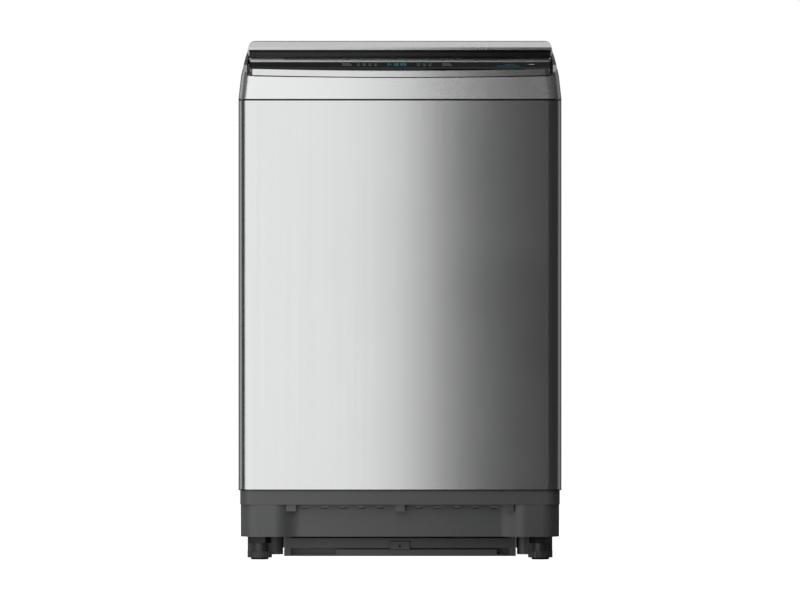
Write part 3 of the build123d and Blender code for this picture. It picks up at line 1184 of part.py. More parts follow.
# ---------------------------------------------------------------- pulsator
DOME_TOP = PULSATOR_BOTTOM + 46.0
with BuildPart() as pulsator:
    with BuildSketch(Plane.XZ):
        with BuildLine():
            Polyline((0, PULSATOR_BOTTOM + 8), (0, DOME_TOP), (22, DOME_TOP))
            Bezier(
                (22, DOME_TOP),
                (62, PULSATOR_BOTTOM + 42),
                (PULSATOR_R * 0.5, PULSATOR_BOTTOM + 12),
                (PULSATOR_R, PULSATOR_BOTTOM + 6),
            )
            Polyline(
                (PULSATOR_R, PULSATOR_BOTTOM + 6),
                (PULSATOR_R, PULSATOR_BOTTOM),
                (PULSATOR_R - 4, PULSATOR_BOTTOM),
                (PULSATOR_R - 5, PULSATOR_BOTTOM + 3),
                (PULSATOR_R * 0.5, PULSATOR_BOTTOM + 8),
                (0, PULSATOR_BOTTOM + 8),
            )
        make_face()
    revolve(axis=Axis.Z)
    with PolarLocations(PULSATOR_R * 0.55, 6):
        with Locations((0, 0, PULSATOR_BOTTOM + 9)):
            Box(PULSATOR_R * 0.72, 16, 19, align=CENTRE_LOW)
    vanes = pulsator.edges().filter_by(
        lambda e: abs(e.center().Z - PULSATOR_BOTTOM - 28) < 0.1 and e.geom_type == GeomType.LINE
    )
    fillet(vanes, radius=5)
    with Locations((0, 0, PULSATOR_BOTTOM)):
        Cylinder(SHAFT_R, 30, align=CENTRE_LOW, mode=Mode.SUBTRACT)
pulsator.part.label = "pulsator"
export_step(pulsator.part, "parts/pulsator.step")

with BuildPart() as pulsator_cap:
    with Locations((0, 0, DOME_TOP)):
        Cylinder(20, 4, align=CENTRE_LOW)
    fillet(pulsator_cap.edges().group_by(Axis.Z)[-1], radius=2.5)
pulsator_cap.part.label = "pulsator_cap"
export_step(pulsator_cap.part, "parts/pulsator_cap.step")

with BuildPart() as pulsator_shaft:
    shaft_z = GEARCASE_BOTTOM + 26
    with Locations((0, 0, shaft_z)):
        Cylinder(SHAFT_R, PULSATOR_BOTTOM + 30 - shaft_z, align=CENTRE_LOW)
pulsator_shaft.part.label = "pulsator_shaft"
export_step(pulsator_shaft.part, "parts/pulsator_shaft.step")

# ---------------------------------------------------------------- screws of the back panel
SCREW_R = 4.0
with BuildPart() as case_screws:
    screw_x = REAR_SPAN / 2 + 7
    screw_zs = [panel_z + 20, panel_z + panel_h / 2, panel_z + panel_h - 20]
    with BuildSketch(Plane.XZ.offset(-SHELL_REAR)):
        with Locations([(side * screw_x, z) for side in (-1, 1) for z in screw_zs]):
            Circle(SCREW_R)
    extrude(amount=-1.6)
case_screws.part.label = "case_screws"
export_step(case_screws.part, "parts/case_screws.step")
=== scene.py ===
"""Top load washing machine: finishes, detailed pieces, stage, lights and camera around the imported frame."""

from __future__ import annotations

import json
import logging
import math
from dataclasses import dataclass
from enum import Enum

import bmesh
import bpy
from mathutils import Matrix, Vector


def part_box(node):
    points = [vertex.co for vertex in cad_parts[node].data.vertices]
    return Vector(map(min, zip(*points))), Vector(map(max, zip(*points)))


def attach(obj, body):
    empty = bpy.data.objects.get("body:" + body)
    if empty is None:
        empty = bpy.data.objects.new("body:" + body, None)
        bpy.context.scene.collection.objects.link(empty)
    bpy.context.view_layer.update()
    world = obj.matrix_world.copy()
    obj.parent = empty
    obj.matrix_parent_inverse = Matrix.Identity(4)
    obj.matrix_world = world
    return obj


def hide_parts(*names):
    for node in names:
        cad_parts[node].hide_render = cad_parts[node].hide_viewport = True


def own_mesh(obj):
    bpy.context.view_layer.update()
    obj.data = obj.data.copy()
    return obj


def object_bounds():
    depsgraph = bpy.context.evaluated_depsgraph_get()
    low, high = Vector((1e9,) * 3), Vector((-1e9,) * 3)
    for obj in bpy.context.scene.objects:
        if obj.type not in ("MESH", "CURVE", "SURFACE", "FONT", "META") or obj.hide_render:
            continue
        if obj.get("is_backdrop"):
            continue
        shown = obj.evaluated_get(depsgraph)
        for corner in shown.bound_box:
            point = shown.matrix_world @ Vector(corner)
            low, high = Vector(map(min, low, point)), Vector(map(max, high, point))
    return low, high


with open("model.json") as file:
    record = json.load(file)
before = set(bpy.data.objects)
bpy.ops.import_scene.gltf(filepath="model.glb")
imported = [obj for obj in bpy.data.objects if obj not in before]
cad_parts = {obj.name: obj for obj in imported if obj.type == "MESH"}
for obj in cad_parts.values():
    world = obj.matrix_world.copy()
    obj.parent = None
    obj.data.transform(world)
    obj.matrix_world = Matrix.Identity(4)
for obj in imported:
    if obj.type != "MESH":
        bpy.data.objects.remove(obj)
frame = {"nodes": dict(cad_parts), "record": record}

LOG = logging.getLogger("washer")
MM = 0.001
Colour = tuple[float, float, float]
LID_BORDER_SIDE = 60 * MM
LID_BORDER_FRONT = 40 * MM
LID_BOW = 60 * MM


# ---------------------------------------------------------------- shader building
class Level:
    """A number socket in a material; arithmetic on it adds Math nodes."""

    def __init__(self, sketch: "Sketch", socket: bpy.types.NodeSocket) -> None:
        """Keep the material being drawn and the socket that carries the number."""
        self.sketch = sketch
        self.socket = socket

    def _join(self, operation: str, first: object, second: object = 0.0) -> "Level":
        """Add one Math node.

        Args:
            operation: name of the Math node's operation.
            first: a Level or a number.
            second: a Level or a number.

        Returns:
            The node's result.
        """
        return self.sketch.level("ShaderNodeMath", {"operation": operation}, {0: first, 1: second})

    def __add__(self, other: object) -> "Level":
        """Sum."""
        return self._join("ADD", self, other)

    __radd__ = __add__

    def __sub__(self, other: object) -> "Level":
        """Difference."""
        return self._join("SUBTRACT", self, other)

    def __rsub__(self, other: object) -> "Level":
        """Reflected difference, as in 1 - mask."""
        return self._join("SUBTRACT", other, self)

    def __mul__(self, other: object) -> "Level":
        """Product."""
        return self._join("MULTIPLY", self, other)

    __rmul__ = __mul__

    def __truediv__(self, other: object) -> "Level":
        """Quotient."""
        return self._join("DIVIDE", self, other)

    def __pow__(self, other: object) -> "Level":
        """Power."""
        return self._join("POWER", self, other)

    def above(self, edge: float) -> "Level":
        """1 where the number is over the edge, else 0."""
        return self._join("GREATER_THAN", self, edge)

    def size(self) -> "Level":
        """Absolute value."""
        return self._join("ABSOLUTE", self)

    def clipped(self) -> "Level":
        """The number held between 0 and 1."""
        return self.sketch.level("ShaderNodeClamp", {}, {"Value": self})


class Sketch:
    """A material while its nodes are being laid out."""

    def __init__(self, name: str) -> None:
        """Start an empty material with a Principled shader.

        Args:
            name: the material's name.
        """
        self.material = bpy.data.materials.new(name)
        self.material.use_nodes = True
        self.tree = self.material.node_tree
        self.tree.nodes.clear()
        self.output = self.tree.nodes.new("ShaderNodeOutputMaterial")
        self.shader = self.tree.nodes.new("ShaderNodeBsdfPrincipled")
        self.tree.links.new(self.shader.outputs[0], self.output.inputs[0])

    def node(self, kind: str, settings: dict, inputs: dict) -> bpy.types.Node:
        """Add any node.

        Args:
            kind: the node's type.
            settings: properties, set before the sockets; "stops" fills a colour ramp.
            inputs: values, Levels or sockets by socket name or number.

        Returns:
            The new node.
        """
        made = self.tree.nodes.new(kind)
        for key, value in settings.items():
            if key == "stops":
                self._stops(made, value)
            else:
                setattr(made, key, value)
        for key, value in inputs.items():
            self.plug(made.inputs[key], value)
        return made

    def _stops(self, ramp: bpy.types.Node, stops: list) -> None:
        """Fill a colour ramp with (position, colour) stops."""
        elements = ramp.color_ramp.elements
        while len(elements) < len(stops):
            elements.new(1.0)
        for element, (place, colour) in zip(elements, stops):
            element.position = place
            element.color = (*colour, 1.0)

    def plug(self, socket: bpy.types.NodeSocket, value: object) -> None:
        """Give a socket a value or a link."""
        if isinstance(value, Level):
            self.tree.links.new(value.socket, socket)
        elif isinstance(value, bpy.types.NodeSocket):
            self.tree.links.new(value, socket)
        else:
            socket.default_value = value

    def level(self, kind: str, settings: dict, inputs: dict, out: object = 0) -> Level:
        """Add a node and return one of its outputs as a Level."""
        return Level(self, self.node(kind, settings, inputs).outputs[out])

    def place(self, stretch: Colour = (1, 1, 1), shift: Colour = (0, 0, 0)) -> bpy.types.NodeSocket:
        """Object coordinates, stretched and shifted.

        Args:
            stretch: scale along each axis.
            shift: offset along each axis.

        Returns:
            The vector socket.
        """
        coords = self.node("ShaderNodeTexCoord", {}, {}).outputs["Object"]
        inputs = {"Vector": coords, "Scale": stretch, "Location": shift}
        return self.node("ShaderNodeMapping", {}, inputs).outputs[0]

    def axes(self, vector: bpy.types.NodeSocket) -> tuple[Level, Level, Level]:
        """The three components of a vector."""
        split = self.node("ShaderNodeSeparateXYZ", {}, {0: vector})
        return tuple(Level(self, split.outputs[i]) for i in range(3))

    def noise(
        self, vector: bpy.types.NodeSocket, scale: float, detail: float = 3.0, rough: float = 0.55
    ) -> Level:
        """Noise between 0 and 1.

        Args:
            vector: where to sample.
            scale: cells per metre.
            detail: octaves.
            rough: weight of the finer octaves.

        Returns:
            The noise value.
        """
        values = {"Vector": vector, "Scale": scale, "Detail": detail, "Roughness": rough}
        return self.level("ShaderNodeTexNoise", {}, values)

    def shade(self, factor: Level, low: Colour, high: Colour) -> bpy.types.NodeSocket:
        """Blend two colours by a factor."""
        mix = self.node("ShaderNodeMix", {"data_type": "RGBA"}, {"Factor": factor})
        mix.inputs[6].default_value = (*low, 1.0)
        mix.inputs[7].default_value = (*high, 1.0)
        return mix.outputs[2]

    def blend(
        self, factor: Level, low: bpy.types.NodeSocket, high: bpy.types.NodeSocket
    ) -> bpy.types.NodeSocket:
        """Blend two colour sockets by a factor."""
        mix = self.node("ShaderNodeMix", {"data_type": "RGBA"}, {"Factor": factor, 6: low, 7: high})
        return mix.outputs[2]

    def bump(self, height: Level, strength: float, distance: float) -> None:
        """Feed a height to the shader's normal.

        Args:
            height: the height, 0 to 1.
            strength: share of the bump that shows.
            distance: metres that a height of 1 stands for.
        """
        values = {"Height": height, "Strength": strength, "Distance": distance}
        self.plug(self.shader.inputs["Normal"], self.node("ShaderNodeBump", {}, values).outputs[0])

    def set(self, **values: object) -> None:
        """Set sockets of the Principled shader; underscores stand for spaces."""
        for key, value in values.items():
            name = " ".join(word if word == "IOR" else word.capitalize() for word in key.split("_"))
            if isinstance(value, tuple) and len(value) == 3:
                value = (*value, 1.0)
            self.plug(self.shader.inputs[name], value)


def scaled(colour: Colour, factor: float) -> Colour:
    """A colour made lighter or darker."""
    return tuple(min(1.0, channel * factor) for channel in colour)


# ---------------------------------------------------------------- finishes
@dataclass(frozen=True)
class Moulded:
    """Moulded plastic, rubber or cast metal with a fine all-over grain."""

    name: str
    colour: Colour
    roughness: float = 0.5
    metallic: float = 0.0
    grain: float = 900.0
    depth: float = 0.00008
    strength: float = 0.35
    blotch: float = 0.10
    coat: float = 0.0

    def build(self) -> bpy.types.Material:
        """Lay out the nodes and return the material."""
        sketch = Sketch(self.name)
        place = sketch.place()
        cloud = sketch.noise(place, 7.0, 4.0)
        grain = sketch.noise(place, self.grain, 2.0)
        streak = sketch.noise(sketch.place((1, 1, 0.25)), 60.0, 4.0, 0.6)
        colour = sketch.shade(
            cloud * 0.7 + streak * 0.3,
            scaled(self.colour, 1 - self.blotch),
            scaled(self.colour, 1 + self.blotch),
        )
        sketch.set(
            base_color=colour,
            roughness=(cloud - 0.5) * 0.16 + (streak - 0.5) * 0.12 + (grain - 0.5) * 0.08 + self.roughness,
            metallic=self.metallic,
            coat_weight=self.coat,
            coat_roughness=0.12,
        )
        sketch.bump(grain, self.strength, self.depth)
        return sketch.material


@dataclass(frozen=True)
class Brushed:
    """Metal or silver lacquer with a fine straight grain along one axis, and painted shade on its hems when
    hem is set.
    """

    name: str
    colour: Colour
    roughness: float = 0.34
    metallic: float = 1.0
    stretch: Colour = (1.0, 1.0, 0.012)
    lines: float = 900.0
    depth: float = 0.00002
    strength: float = 0.12
    contrast: float = 0.06
    hem: float = 0.0
    hem_shade_colour: Colour = (0.02, 0.02, 0.021)

    def build(self) -> bpy.types.Material:
        """Lay out the nodes and return the material."""
        sketch = Sketch(self.name)
        place = sketch.place(self.stretch)
        fine = sketch.noise(place, self.lines, 3.0, 0.7)
        broad = sketch.noise(place, self.lines / 9, 2.0, 0.5)
        cloud = sketch.noise(sketch.place(), 3.5, 3.0)
        tone = fine * 0.6 + broad * 0.4
        colour = sketch.shade(
            tone, scaled(self.colour, 1 - self.contrast), scaled(self.colour, 1 + self.contrast)
        )
        metallic = self.metallic
        # Painted shade: a dark band on the cabinet wrap's lower and upper hems, at the seams to the base and
        # the top cover; the metal falls away there.
        if self.hem:
            plain = self._outside_hem_shade(sketch)
            dark = sketch.shade(tone, scaled(self.hem_shade_colour, 0.8), scaled(self.hem_shade_colour, 1.2))
            colour = sketch.blend(plain, dark, colour)
            metallic = plain * self.metallic
        sketch.set(
            base_color=colour,
            roughness=(fine - 0.5) * 0.08 + (cloud - 0.5) * 0.05 + self.roughness,
            metallic=metallic,
        )
        sketch.bump(fine, self.strength, self.depth)
        return sketch.material

    def _outside_hem_shade(self, sketch: Sketch) -> Level:
        """0 on the lower and upper hems of the cabinet wrap, where shade is painted, 1 elsewhere."""
        low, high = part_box("cabinet_shell")
        _, _, height = sketch.axes(sketch.place())
        return height.above(low.z + self.hem) * (1 - height.above(high.z - self.hem))


class Shadow(Enum):
    """Where painted shade darkens a silver-painted moulding that lies inside a seam."""

    NONE = 0
    UNDER_COVER = 1
    UNDER_TRIM = 2
    UNDER_LIP = 3

    def mask(self, sketch: Sketch) -> Level:
        """1 inside the seam, where shade is painted, 0 on the open faces.

        Args:
            sketch: the material being drawn.

        Returns:
            The mask.
        """
        x, y, z = sketch.axes(sketch.place())
        if self is Shadow.UNDER_COVER:
            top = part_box("cabinet_shell")[1]
            rim = (x.size().above(top.x - 5 * MM) + y.size().above(top.y - 5 * MM)).clipped()
            return rim * (1 - z.above(top.z + 1.6 * MM))
        if self is Shadow.UNDER_LIP:
            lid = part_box("lid_glass")[1]
            inset = ((lid.x + 4 * MM - x.size()) * 900.0).clipped() * (1 - y.above(lid.y + 20 * MM))
            return inset * (1 - z.above(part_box("rear_hood")[1].z - 15.4 * MM))
        low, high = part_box("control_housing")
        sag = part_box("top_cover")[1].z - low.z
        across = x / high.x
        return 1 - z.above(across * across * sag + (low.z + 1.9 * MM))


@dataclass(frozen=True)
class Flaked:
    """Silver paint with metal flakes under a clear coat, with painted shade inside its seam when a shadow is
    set.
    """

    name: str
    colour: Colour
    roughness: float = 0.36
    metallic: float = 0.85
    coat: float = 0.25
    shadow: Shadow = Shadow.NONE

    def build(self) -> bpy.types.Material:
        """Lay out the nodes and return the material."""
        sketch = Sketch(self.name)
        place = sketch.place()
        cells = {"Vector": place, "Scale": 2600.0}
        flakes = sketch.level("ShaderNodeTexVoronoi", {"feature": "F1"}, cells, "Color")
        cloud = sketch.noise(place, 5.0, 3.0)
        peel = sketch.noise(place, 180.0, 2.0)
        tone = flakes * 0.5 + cloud * 0.5
        colour = sketch.shade(tone, scaled(self.colour, 0.95), scaled(self.colour, 1.05))
        metallic, coat = self.metallic, self.coat
        # Painted shade: inside the seam the colour turns near-black and the metal and coat fall away.
        if self.shadow is not Shadow.NONE:
            seam_shade_mask = self.shadow.mask(sketch)
            painted_seam_shade = sketch.shade(tone, (0.012, 0.012, 0.012), (0.02, 0.02, 0.02))
            colour = sketch.blend(seam_shade_mask, colour, painted_seam_shade)
            metallic, coat = (1 - seam_shade_mask) * self.metallic, (1 - seam_shade_mask) * self.coat
        sketch.set(
            base_color=colour,
            roughness=(cloud - 0.5) * 0.08 + (flakes - 0.5) * 0.06 + self.roughness,
            metallic=metallic,
            coat_weight=coat,
            coat_roughness=0.15,
        )
        sketch.bump(peel, 0.06, 0.00008)
        return sketch.material


@dataclass(frozen=True)
class Glassy:
    """Dark back-printed glass: gloss with faint wipe marks and dust."""

    name: str
    colour: Colour = (0.004, 0.004, 0.005)
    roughness: float = 0.07

    def build(self) -> bpy.types.Material:
        """Lay out the nodes and return the material."""
        sketch = Sketch(self.name)
        wipe = sketch.noise(sketch.place((1.0, 0.25, 1.0)), 26.0, 5.0, 0.65)
        dust = sketch.noise(sketch.place(), 1400.0, 1.0)
        specks = (dust - 0.72).clipped() * 3.0
        sketch.set(
            base_color=sketch.shade(specks, self.colour, (0.09, 0.09, 0.09)),
            roughness=(wipe - 0.5) * 0.06 + self.roughness,
            IOR=1.32,
        )
        return sketch.material


@dataclass(frozen=True)
class LidGlass:
    """Lid glass: black printed border round a smoked window with bowed long edges."""

    name: str
    middle: float
    half_x: float
    half_y: float
    bow: float

    def build(self) -> bpy.types.Material:
        """Lay out the nodes and return the material."""
        sketch = Sketch(self.name)
        place = sketch.place(shift=(0, -self.middle, 0))
        x, y, _ = sketch.axes(place)
        across = (x / self.half_x) * (x / self.half_x)
        reach = self.half_y - across * self.bow
        inside = ((reach - y.size()) * 900.0).clipped() * ((self.half_x - x.size()) * 900.0).clipped()
        wipe = sketch.noise(sketch.place((1.0, 0.3, 1.0)), 22.0, 5.0, 0.65)
        sketch.set(
            base_color=sketch.shade(inside, (0.004, 0.004, 0.005), (0.016, 0.016, 0.018)),
            roughness=(wipe - 0.5) * 0.05 + 0.06,
            alpha=1 - inside * 0.42,
            IOR=1.3,
        )
        return sketch.material


@dataclass(frozen=True)
class Lit:
    """Lit mark behind the panel glass; printed marks given this finish get a painted glow."""

    name: str
    colour: Colour
    strength: float

    def build(self) -> bpy.types.Material:
        """Lay out the nodes and return the material."""
        sketch = Sketch(self.name)
        cells = sketch.noise(sketch.place(), 1800.0, 1.0)
        sketch.set(
            base_color=sketch.shade(cells, scaled(self.colour, 0.85), self.colour),
            roughness=(cells - 0.5) * 0.1 + 0.4,
            emission_color=sketch.shade(cells, scaled(self.colour, 0.9), self.colour),
            emission_strength=self.strength,
        )
        return sketch.material


BUILT: dict["Finish", bpy.types.Material] = {}


class Finish(Enum):
    """The finishes of the machine."""

    # SHEET carries painted shade on its hems.
    SHEET = Brushed("finish_silver_sheet", (0.74, 0.745, 0.75), 0.24, hem=1.8 * MM)
    SILVER = Flaked("finish_silver_paint", (0.80, 0.805, 0.81), 0.25)
    # COVER, TRIM and HOOD carry painted shade in their seams.
    COVER = Flaked("finish_silver_cover", (0.84, 0.845, 0.85), 0.25, shadow=Shadow.UNDER_COVER)
    TRIM = Flaked("finish_silver_trim", (0.72, 0.725, 0.73), 0.24, 0.95, 0.3, Shadow.UNDER_TRIM)
    HOOD = Flaked("finish_silver_hood", (0.80, 0.805, 0.81), 0.25, shadow=Shadow.UNDER_LIP)
    DARK = Moulded("finish_dark_grey_plastic", (0.15, 0.153, 0.157), 0.4)
    BLACK = Moulded("finish_black_plastic", (0.012, 0.012, 0.013), 0.42)
    WHITE = Moulded("finish_white_plastic", (0.70, 0.71, 0.72), 0.42, blotch=0.03)
    GREY = Moulded("finish_grey_plastic", (0.34, 0.35, 0.37), 0.45, blotch=0.05)
    # A painted highlight: the light grey of the strips in the base's vent slots.
    SLOT_HIGHLIGHT = Moulded("finish_slot_painted_highlight", (0.62, 0.63, 0.65), 0.45, blotch=0.05)
    FOOT = Moulded("finish_foot_plastic", (0.075, 0.076, 0.079), 0.38)
    GLASS = Glassy("finish_panel_glass")
    ZINC = Brushed("finish_zinc_steel", (0.55, 0.56, 0.57), 0.38, 1.0, (1.0, 1.0, 0.3), 500.0, contrast=0.14)
    STAINLESS = Brushed(
        "finish_stainless_steel", (0.62, 0.62, 0.61), 0.24, 1.0, (1.0, 1.0, 8.0), 140.0, contrast=0.08
    )
    SPRING = Brushed(
        "finish_spring_steel", (0.18, 0.18, 0.19), 0.35, 1.0, (1.0, 1.0, 1.0), 300.0, contrast=0.2
    )
    ALLOY = Moulded("finish_cast_alloy", (0.42, 0.42, 0.43), 0.5, 1.0, 500.0, 0.0002, 0.5, 0.12)
    ROTOR = Moulded("finish_rotor_iron", (0.16, 0.16, 0.17), 0.5, 1.0, 400.0, 0.0001, 0.5, 0.2)
    RUBBER = Moulded("finish_black_rubber", (0.015, 0.015, 0.015), 0.72, 0.0, 700.0, 0.0001, 0.5, 0.25)
    CIRCUIT = Moulded("finish_circuit_board", (0.01, 0.07, 0.03), 0.35, 0.0, 500.0, 0.0002, 0.5, 0.4)
    CYAN = Lit("finish_cyan_digits", (0.04, 0.42, 0.52), 0.22)
    # PALE is print with a faint painted glow, not a lamp.
    PALE = Lit("finish_pale_print_painted_glow", (0.30, 0.31, 0.33), 0.16)
    BLUE = Lit("finish_blue_sign", (0.06, 0.2, 0.6), 0.5)
    BRIGHT = Lit("finish_bright_sign", (0.9, 0.92, 0.95), 1.0)

    @property
    def material(self) -> bpy.types.Material:
        """The finish's material, built once."""
        if self not in BUILT:
            BUILT[self] = self.value.build()
        return BUILT[self]


SLOT_FINISH = {
    "silver_sheet": Finish.SHEET,
    "silver_plastic": Finish.SILVER,
    "dark_plastic": Finish.DARK,
    "black_plastic": Finish.BLACK,
    "white_plastic": Finish.WHITE,
    "grey_plastic": Finish.GREY,
    "black_glass": Finish.GLASS,
    "smoke_glass": Finish.GLASS,
    "steel": Finish.ZINC,
    "stainless": Finish.STAINLESS,
    "spring_steel": Finish.SPRING,
    "cast_alloy": Finish.ALLOY,
    "copper_rotor": Finish.ROTOR,
    "black_rubber": Finish.RUBBER,
    "circuit": Finish.CIRCUIT,
}

NODE_FINISH = {
    "control_housing": Finish.TRIM,
    "top_cover": Finish.COVER,
    "rear_hood": Finish.HOOD,
    **{f"foot_{corner}": Finish.FOOT for corner in ("front_left", "front_right", "rear_left", "rear_right")},
}


# ---------------------------------------------------------------- mesh helpers
def settle(
    mesh: bmesh.types.BMesh, name: str, material: bpy.types.Material, smooth: bool = True
) -> bpy.types.Object:
    """Turn a bmesh into an object at the origin.

    Args:
        mesh: the finished bmesh, in metres in the row frame; it is freed.
        name: the piece's name.
        material: its material.
        smooth: shade the faces smooth.

    Returns:
        The new object.
    """
    bmesh.ops.remove_doubles(mesh, verts=mesh.verts, dist=1e-6)
    bmesh.ops.recalc_face_normals(mesh, faces=mesh.faces)
    data = bpy.data.meshes.new(name)
    mesh.to_mesh(data)
    mesh.free()
    data.materials.append(material)
    for face in data.polygons:
        face.use_smooth = smooth
    piece = bpy.data.objects.new(name, data)
    bpy.context.scene.collection.objects.link(piece)
    return piece


def block(mesh: bmesh.types.BMesh, low: Vector, high: Vector, bevel: float = 0.0, segments: int = 2) -> None:
    """Add a box between two corners, its edges rounded.

    Args:
        mesh: the bmesh to add to.
        low: lowest corner.
        high: highest corner.
        bevel: edge radius in metres.
        segments: faces across each rounded edge.
    """
    size = Vector(high) - Vector(low)
    middle = (Vector(high) + Vector(low)) / 2
    place = Matrix.Translation(middle) @ Matrix.Diagonal((*size, 1.0))
    made = bmesh.ops.create_cube(mesh, size=1.0, matrix=place)["verts"]
    if bevel:
        edges = list({edge for vert in made for edge in vert.link_edges})
        bmesh.ops.bevel(
            mesh, geom=edges, offset=bevel, segments=segments, profile=0.5, affect="EDGES", material=-1
        )


# ---------------------------------------------------------------- sub-assemblies
@dataclass
class Suspension:
    """Four wound springs on the hanging rods."""

    wire: float = 1.9 * MM
    turns: int = 9
    sides: int = 8
    radius: float = 16.5 * MM

    def build(self) -> list[bpy.types.Object]:
        """Wind the springs in the space of their plain tubes.

        Returns:
            The piece that shows all four springs.
        """
        low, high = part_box("suspension_springs")
        mesh = bmesh.new()
        reach = high - Vector((self.radius, self.radius, 0))
        for sx in (-1, 1):
            for sy in (-1, 1):
                middle = Vector((sx * reach.x, sy * reach.y, 0))
                self._coil(mesh, middle, low.z, high.z, self.radius - self.wire)
        piece = settle(mesh, "spring_coils", Finish.SPRING.material)
        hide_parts("suspension_springs")
        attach(piece, "cabinet")
        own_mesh(piece)
        return [piece]

    def _coil(self, mesh: bmesh.types.BMesh, middle: Vector, low: float, high: float, radius: float) -> None:
        """Spin a small ring along a helix."""
        start = Vector((radius, 0, low + self.wire))
        ring = bmesh.ops.create_circle(
            mesh, cap_ends=True, segments=self.sides, radius=self.wire,
            matrix=Matrix.Translation(middle + start) @ Matrix.Rotation(math.pi / 2, 4, "X"),
        )["verts"]
        faces = list({face for vert in ring for face in vert.link_faces})
        steps = self.turns * 20
        rise = (high - low - 2 * self.wire) / steps
        bmesh.ops.spin(
            mesh, geom=faces, cent=middle, axis=(0, 0, 1), dvec=(0, 0, rise),
            angle=self.turns * 2 * math.pi, steps=steps, use_merge=False, use_duplicate=False,
        )


@dataclass
class PanelMarks:
    """Generic marks printed on the sloping panel glass, and its lit figures."""

    lift: float = 0.12 * MM
    bar: float = 1.3 * MM
    fall: float = 8.3 * MM

    def __post_init__(self) -> None:
        """Lay the sloping plane from the glass and its keys."""
        low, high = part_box("control_glass")
        key_low, key_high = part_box("start_button")
        top = Vector((0, high.y, high.z))
        key = Vector((0, (key_low.y + key_high.y) / 2, 0))
        self.depth = high.y - low.y
        self.front = Vector((0, low.y + 4 * MM, high.z - self.fall))
        self.along = (top - self.front).normalized()
        self.up = Vector((0, -self.along.z, self.along.y))
        self.key_at = (key - self.front).dot(Vector((0, 1, 0))) / self.along.y

    def point(self, x: float, along: float, lift: float = 0.0) -> Vector:
        """A point on the glass: x, distance up the slope, height over it."""
        return Vector((x, 0, 0)) + self.front + self.along * along + self.up * (lift + self.lift)

    def _tile(
        self, mesh: bmesh.types.BMesh, x: float, along: float, width: float, depth: float, lift: float = 0
    ) -> None:
        """Add one flat rounded mark centred at a place on the glass."""
        corner = min(width, depth) * 0.3
        ring = []
        for sx, sy, turn in ((1, 1, 0), (-1, 1, 1), (-1, -1, 2), (1, -1, 3)):
            for step in range(3):
                angle = (turn + step / 2) * math.pi / 2
                across = sx * (width / 2 - corner) + corner * math.cos(angle)
                ahead = sy * (depth / 2 - corner) + corner * math.sin(angle)
                ring.append(mesh.verts.new(self.point(x + across, along + ahead, lift)))
        mesh.faces.new(ring)

    def _ring(self, mesh: bmesh.types.BMesh, x: float, along: float, radius: float, lift: float = 0,
              opening: float = 0.0) -> None:
        """Add a thin circle, with an optional gap at its far side."""
        steps = 28
        span = 2 * math.pi - opening
        inner, outer = [], []
        for step in range(steps + 1):
            angle = math.pi / 2 + opening / 2 + span * step / steps
            for ring, size in ((inner, radius - self.bar * 0.7), (outer, radius)):
                across, ahead = math.cos(angle) * size, math.sin(angle) * size
                ring.append(mesh.verts.new(self.point(x + across, along + ahead, lift)))
        for step in range(steps):
            mesh.faces.new((inner[step], outer[step], outer[step + 1], inner[step + 1]))

    def _figure(self, mesh: bmesh.types.BMesh, x: float, digit: int) -> None:
        """Add one seven-bar figure."""
        width, depth, thick = 8.0 * MM, 34.0 * MM, 1.7 * MM
        middle = self.depth * 0.50
        bars = {
            "top": (0, depth / 2, width, thick * 2), "mid": (0, 0, width, thick * 2),
            "low": (0, -depth / 2, width, thick * 2),
            "up_left": (-width / 2, depth / 4, thick, depth / 2.4),
            "up_right": (width / 2, depth / 4, thick, depth / 2.4),
            "low_left": (-width / 2, -depth / 4, thick, depth / 2.4),
            "low_right": (width / 2, -depth / 4, thick, depth / 2.4),
        }
        lit = {
            1: ("up_right", "low_right"),
            3: ("top", "mid", "low", "up_right", "low_right"),
            8: tuple(bars),
        }
        for name in lit[digit]:
            across, ahead, wide, deep = bars[name]
            self._tile(mesh, x + across, middle + ahead, wide, deep)

    def build(self) -> list[bpy.types.Object]:
        """Make the printed marks, the lit figures and the marks on the keys.

        Returns:
            The pieces.
        """
        pale, lit = bmesh.new(), bmesh.new()
        middle = self.depth * 0.50
        for left in (-106 * MM, 77 * MM):
            for row in range(3):
                x, along = left + (9.5 - row) * MM, middle + (row - 1) * 15 * MM
                self._tile(pale, x, along, (19 - 2 * row) * MM, 4.2 * MM)
        for first, count in ((-76, 4), (34, 3)):
            for step in range(count):
                x = (first + 10.5 * step) * MM
                self._ring(lit, x, middle + 11 * MM, 3.4 * MM)
                self._tile(lit, x, middle + 11 * MM, 1.4 * MM, 4 * MM)
                self._tile(pale, x, middle - 8 * MM, 6.4 * MM, 3.4 * MM)
                self._tile(pale, x, middle - 16 * MM, 4.6 * MM, 3.0 * MM)
        for x, digit in ((-25, 1), (-8, 3), (6, 8)):
            self._figure(lit, x * MM, digit)
        for ahead in (-7 * MM, 7 * MM):
            self._tile(lit, -16.5 * MM, middle + ahead, 2 * MM, 4 * MM)
        self._tile(lit, 198 * MM, 0.22 * self.depth, 40 * MM, 3 * MM)
        pieces = [
            self._finish(pale, "panel_print", Finish.PALE, "cabinet"),
            self._finish(lit, "panel_figures", Finish.CYAN, "cabinet"),
        ]
        pieces += self._key_marks()
        return pieces

    def _finish(self, mesh: bmesh.types.BMesh, name: str, finish: Finish, body: str) -> bpy.types.Object:
        """Settle one set of marks on its body."""
        piece = settle(mesh, name, finish.material, smooth=False)
        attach(piece, body)
        return piece

